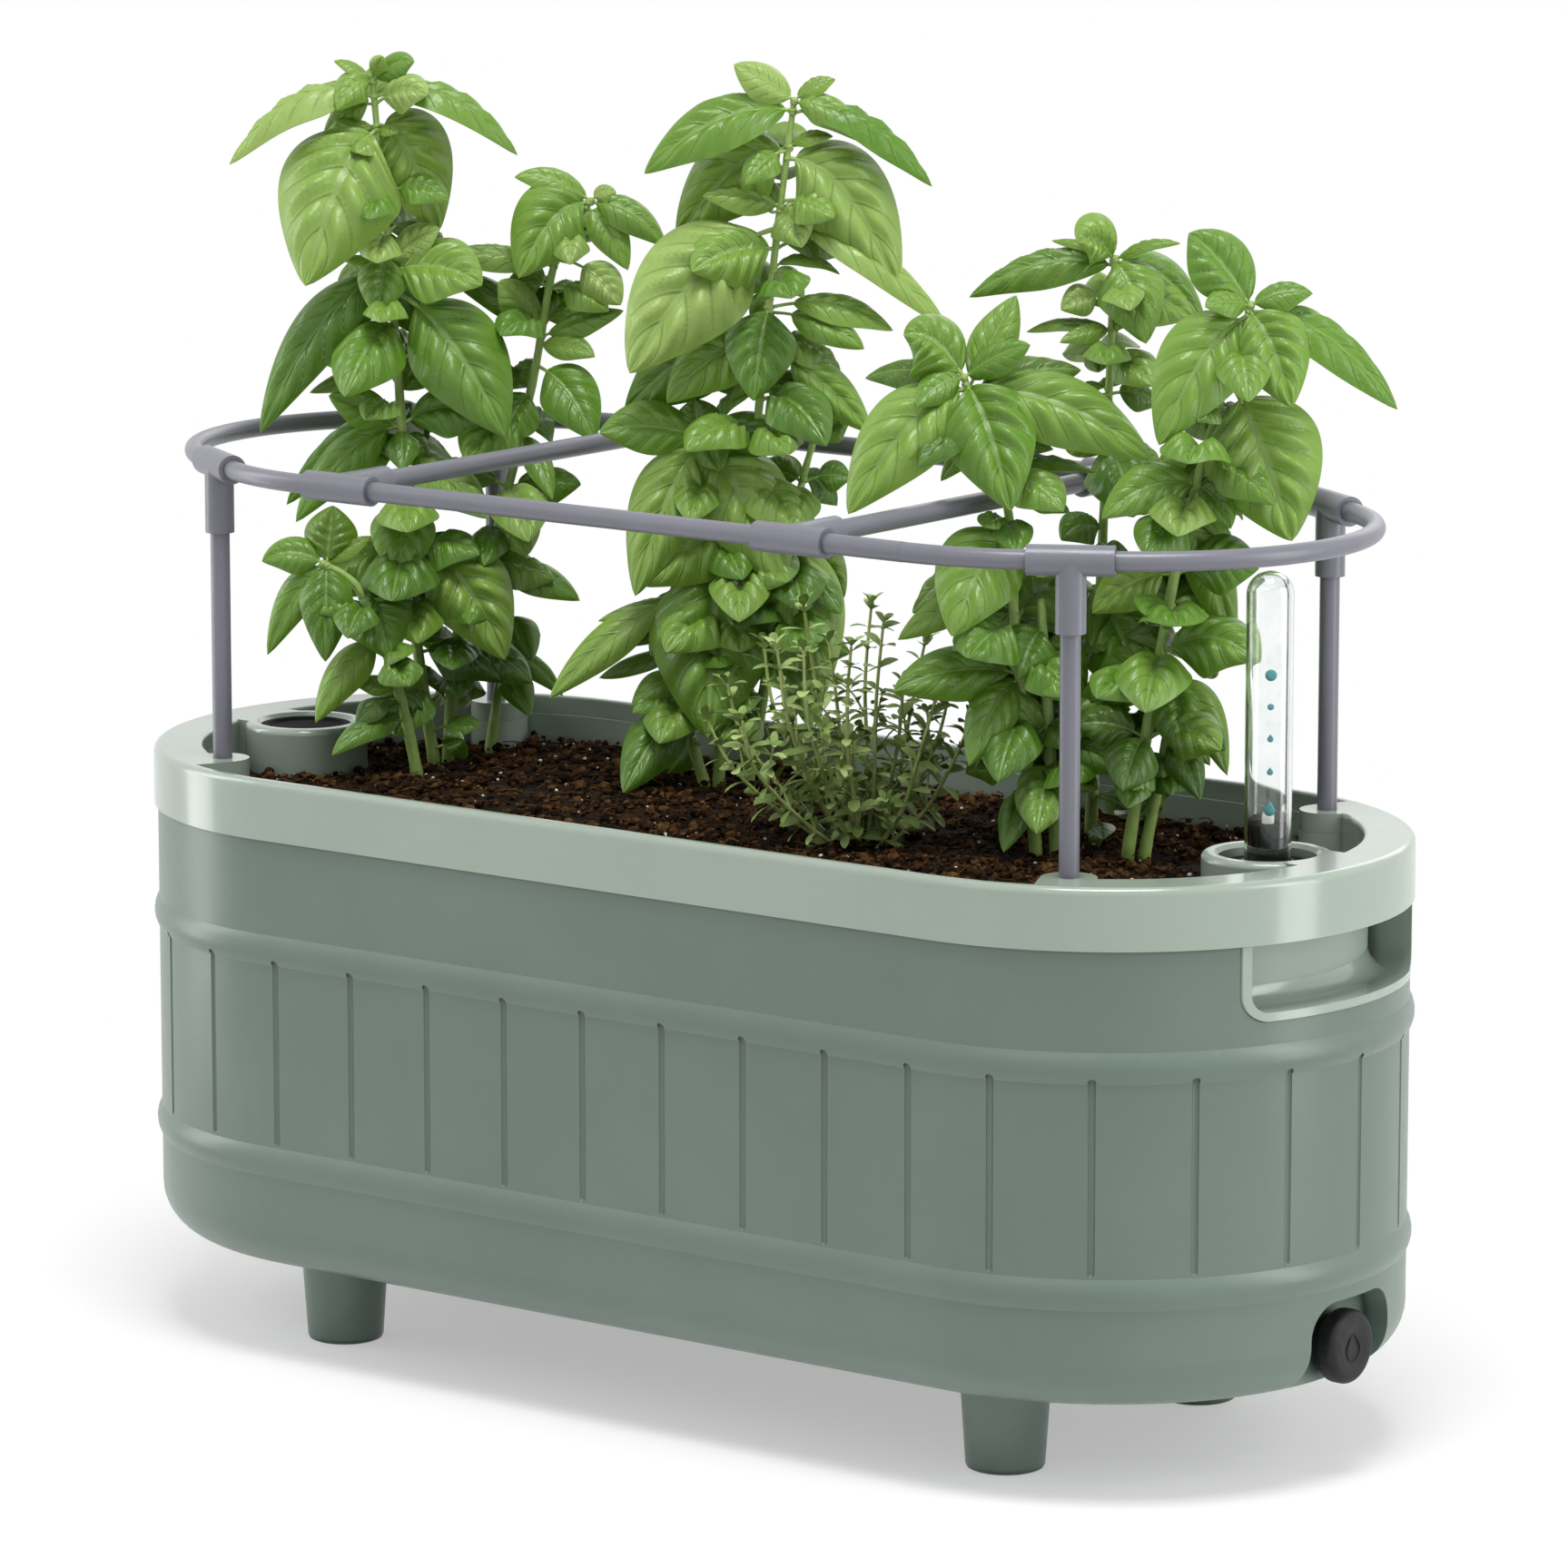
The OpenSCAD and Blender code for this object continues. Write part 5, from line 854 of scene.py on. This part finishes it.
def soil():
    """The soil's rough surface, with crumbs, pale grains and fibres on it."""
    rng = random.Random(11)
    top = Soup()
    ids = {}
    for i in range(-GRID_X, GRID_X + 1):
        for j in range(-GRID_Y, GRID_Y + 1):
            x, y = i * PITCH, j * PITCH
            if in_bed(x, y, 0.3):
                ids[i, j] = len(top.v)
                p = Vector((x, y, 0))
                rough = 1.3 * noise.noise(p * 0.23) + 0.9 * noise.noise(p * 0.5 + Vector((0, 5, 2)))
                top.v.append((x + rng.uniform(-0.8, 0.8), y + rng.uniform(-0.8, 0.8), ground(x, y) + rough - 1.5))
                top.c.append((rng.random() * 0.6, 0, 0, 1))
                top.uv.append((0.5, 0.5))
    for (i, j) in ids:
        q = [(i, j), (i + 1, j), (i + 1, j + 1), (i, j + 1)]
        if all(c in ids for c in q):
            top.f.append(tuple(ids[c] for c in q))
            top.mi.append(0)
    top.make("soil_surface", [SOIL], "tone", "liner", "potting_soil")
    crumbs, white, fibres = Soup(), Soup(), Soup()
    placed = 0
    while placed < CRUMBS:
        x, y = rng.uniform(-BED_HALF_X, BED_HALF_X), rng.uniform(-BED_HALF_Y, BED_HALF_Y)
        if not in_bed(x, y, 3.0):
            continue
        placed += 1
        r = rng.choice((0.7, 0.8, 0.9, 1.1, 1.4, 1.9, 2.6)) * rng.uniform(0.8, 1.25)
        z = ground(x, y) + rng.uniform(-0.8, 0.9)
        size = (r, r * rng.uniform(0.7, 1.2), r * rng.uniform(0.6, 0.95))
        crumbs.lump((x, y, z), size, rng, (rng.random(), 0, 0, 1))
    for k in range(GRAINS):
        x, y = rng.uniform(-BED_HALF_X, BED_HALF_X), rng.uniform(-BED_HALF_Y, BED_HALF_Y)
        if in_bed(x, y, 3.0):
            r = rng.uniform(0.5, 1.1)
            white.lump((x, y, ground(x, y) + 0.6), (r, r * rng.uniform(0.7, 1.1), r * 0.8), rng, (0.5, 0, 0, 1))
    for k in range(FIBRES):
        x, y = rng.uniform(6 - BED_HALF_X, BED_HALF_X - 6), rng.uniform(5 - BED_HALF_Y, BED_HALF_Y - 5)
        a, n = rng.uniform(0, FULL), rng.uniform(4, 12)
        ends = [(x + n * t * math.cos(a + 0.5 * t), y + n * t * math.sin(a + 0.5 * t)) for t in (-0.5, 0.0, 0.5)]
        if all(in_bed(px, py, 2.5) for px, py in ends):
            pts = [(px, py, ground(px, py) + 1.0 + rng.uniform(0, 1.4)) for px, py in ends]
            fibres.tube(smooth_line(pts, 3), [0.28] * 7, 4, (rng.uniform(0.75, 1.0), 0, 0, 1))
    crumbs.make("soil_crumbs", [SOIL], "tone", "liner", "potting_soil", smooth=False)
    white.make("soil_perlite", [PERLITE], "tone", "liner", "potting_soil", smooth=False)
    fibres.make("soil_fibres", [SOIL], "tone", "liner", "potting_soil")


# ---- gauge marks and the drain's drop ----
# Radius of the clear tube, and how far the print stands off it.
GAUGE_R, PRINT = 9.3, 0.06


def drop_outline(size, n=28):
    """A drop with its point up, as (across, up)."""
    pts = []
    for k in range(n):
        a = 2 * math.pi * k / n
        x = math.sin(a)
        y = -math.cos(a)
        pinch = 1.0 if y < 0 else (1 - y) ** 0.75 * (1 + 0.35 * y)
        pts.append((size * x * pinch, size * (y if y < 0 else 1.55 * y)))
    return pts


def gauge_marks():
    """Drops and dots printed on the side of the clear tube that faces the camera."""
    low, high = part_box("gauge_tube")
    cx = (low.x + high.x) / 2 / MM
    radius = GAUGE_R + PRINT
    face = math.atan2(-COS_T, SIN_T)
    soup = Soup()

    def mark(z, outline):
        s = len(soup.v)
        rings = ((0.0, 0.0), (0.5, 0.0), (1.0, 0.0), (1.0, -0.05))
        for k, sink in rings:
            for x, y in outline:
                a = face + x * k / radius
                r = radius + sink
                soup.v.append((cx + r * math.cos(a), r * math.sin(a), z + y * k))
                soup.c.append((0.5, 0, 0, 1))
                soup.uv.append((0.5, 0.5))
        n = len(outline)
        for r in range(len(rings) - 1):
            for k in range(n):
                j = (k + 1) % n
                soup.f.append((s + r * n + k, s + (r + 1) * n + k, s + (r + 1) * n + j, s + r * n + j))
                soup.mi.append(0)

    def dot(r):
        return [(r * math.sin(2 * math.pi * k / 24), r * math.cos(2 * math.pi * k / 24)) for k in range(24)]

    for up, outline in ((18, drop_outline(2.3)), (33, drop_outline(1.25)), (46, drop_outline(1.25)),
                        (58.6, dot(1.3)), (71, dot(2.3))):
        mark(RIM_Z + up, outline)
    soup.make("gauge_marks", [TEAL], "tone", "gauge", "black_plastic")


def drain_drop():
    """A plain raised drop outline on the face of the drain's knob."""
    low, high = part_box("drain_plug")
    x = high.x / MM + 0.02
    z = (low.z + high.z) / 2 / MM
    soup = Soup()
    outline = drop_outline(4.6, 40)
    # The knob's face is domed, so the line falls back towards the edge.
    pts = [(x - 0.35 - 0.012 * (px * px + py * py), px, z + py - 1) for px, py in outline]
    pts.append(pts[0])
    soup.tube(pts, [0.34] * len(pts), 6, (0.5, 0, 0, 1), cap=False)
    soup.make("drain_drop_line", [BLACK], "tone", "drain", "black_rubber")


basil()
thyme()
soil()
gauge_marks()
drain_drop()


# ---- stage, light and camera, in metres ----
FLOOR = 9.0
# Name, place, size and watts of each lamp. The strips stand low and near, and give the tub's corners their highlights.
LAMPS = (
    ("right", (3.0, 0.5, 1.6), (0.9, 1.8), 12),
    ("right_strip", (0.95, 0.22, 0.4), (0.25, 0.8), 2.5),
    ("left", (-2.7, -1.3, 1.6), (0.8, 1.8), 9),
    ("left_strip", (-0.76, -0.27, 0.4), (0.2, 0.8), 1.8),
    ("front", (0.4, -3.0, 2.2), (2.6, 1.4), 9),
    ("back", (-0.9, 2.9, 1.7), (1.8, 1.2), 10),
    ("top", (0.5, -0.5, 2.8), (1.2, 1.0), 56),
)
LIGHT_AIM = Vector((0, 0, 0.25))
SKY = 0.38
CAMERA_AIM = Vector((0.009689, 0, 0.245532))
CAMERA_LIFT, CAMERA_FAR, LENS = math.radians(10.354), 3.2235, 181.95


def floor():
    """Pale floor that takes the shadow near the object and fades to white away from it."""
    me = bpy.data.meshes.new("floor")
    corners = [(-FLOOR, -FLOOR, 0), (FLOOR, -FLOOR, 0), (FLOOR, FLOOR, 0), (-FLOOR, FLOOR, 0)]
    me.from_pydata(corners, [], [(0, 1, 2, 3)])
    o = bpy.data.objects.new("floor", me)
    bpy.context.scene.collection.objects.link(o)
    m = Mat("floor_white")
    xyz = m.split(m.co)
    along = m.math("POWER", m.math("MULTIPLY", xyz[0], 0.8), 2.0)
    far = m.math("SQRT", m.math("ADD", along, m.math("POWER", xyz[1], 2.0)))
    m.set(Base_Color=m.ramp(m.noise(3.0), (0.3, "#f4f4f3"), (0.7, "#f7f7f6")), Roughness=0.9, Specular_IOR_Level=0.1)
    path = m.t.nodes.new("ShaderNodeLightPath")
    seen = m.math("MAXIMUM", path.outputs["Is Camera Ray"],
                  m.math("MAXIMUM", path.outputs["Is Glossy Ray"], path.outputs["Is Transmission Ray"]))
    glow = m.node("ShaderNodeEmission", Color=(1, 1, 1, 1), Strength=1.0)
    both = m.node("ShaderNodeMixShader", Fac=m.math("MULTIPLY", seen, m.span(far, 0.2, 0.58, 0.4, 1.0)))
    m.put(both.inputs[1], m.p.outputs[0])
    m.put(both.inputs[2], glow.outputs[0])
    m.put(m.out.inputs["Surface"], both.outputs[0])
    me.materials.append(m.m)


def sky():
    """White to the camera, in gloss and through glass, and dimmer as a light."""
    w = bpy.data.worlds.new("studio")
    bpy.context.scene.world = w
    w.use_nodes = True
    t = w.node_tree
    back = t.nodes["Background"]
    back.inputs["Color"].default_value = (1, 1, 1, 1)
    path = t.nodes.new("ShaderNodeLightPath")
    seen = path.outputs["Is Camera Ray"]
    for name in ("Is Glossy Ray", "Is Transmission Ray"):
        either = t.nodes.new("ShaderNodeMath")
        either.operation = "MAXIMUM"
        t.links.new(seen, either.inputs[0])
        t.links.new(path.outputs[name], either.inputs[1])
        seen = either.outputs[0]
    level = t.nodes.new("ShaderNodeMapRange")
    t.links.new(seen, level.inputs[0])
    level.inputs[3].default_value = SKY
    level.inputs[4].default_value = 1.0
    t.links.new(level.outputs[0], back.inputs["Strength"])


def lamp(name, at, size, power):
    """Rectangular lamp that faces the object and isn't seen itself."""
    d = bpy.data.lights.new(name, "AREA")
    d.shape = "RECTANGLE"
    d.size, d.size_y = size
    d.energy = power
    o = bpy.data.objects.new(name, d)
    o.location = at
    o.rotation_euler = (LIGHT_AIM - o.location).to_track_quat("-Z", "Y").to_euler()
    o.visible_camera = False
    bpy.context.scene.collection.objects.link(o)


def camera():
    """The photograph's camera, solved from the tub and the trellis."""
    d = bpy.data.cameras.new("camera")
    d.sensor_width = 36
    d.lens = LENS
    d.clip_end = 50
    o = bpy.data.objects.new("camera", d)
    flat = math.cos(CAMERA_LIFT)
    o.location = CAMERA_AIM + CAMERA_FAR * Vector((SIN_T * flat, -COS_T * flat, math.sin(CAMERA_LIFT)))
    o.rotation_euler = (CAMERA_AIM - o.location).to_track_quat("-Z", "Y").to_euler()
    bpy.context.scene.collection.objects.link(o)
    bpy.context.scene.camera = o


floor()
sky()
for row in LAMPS:
    lamp(*row)
camera()
bpy.context.scene.view_settings.view_transform = "Standard"
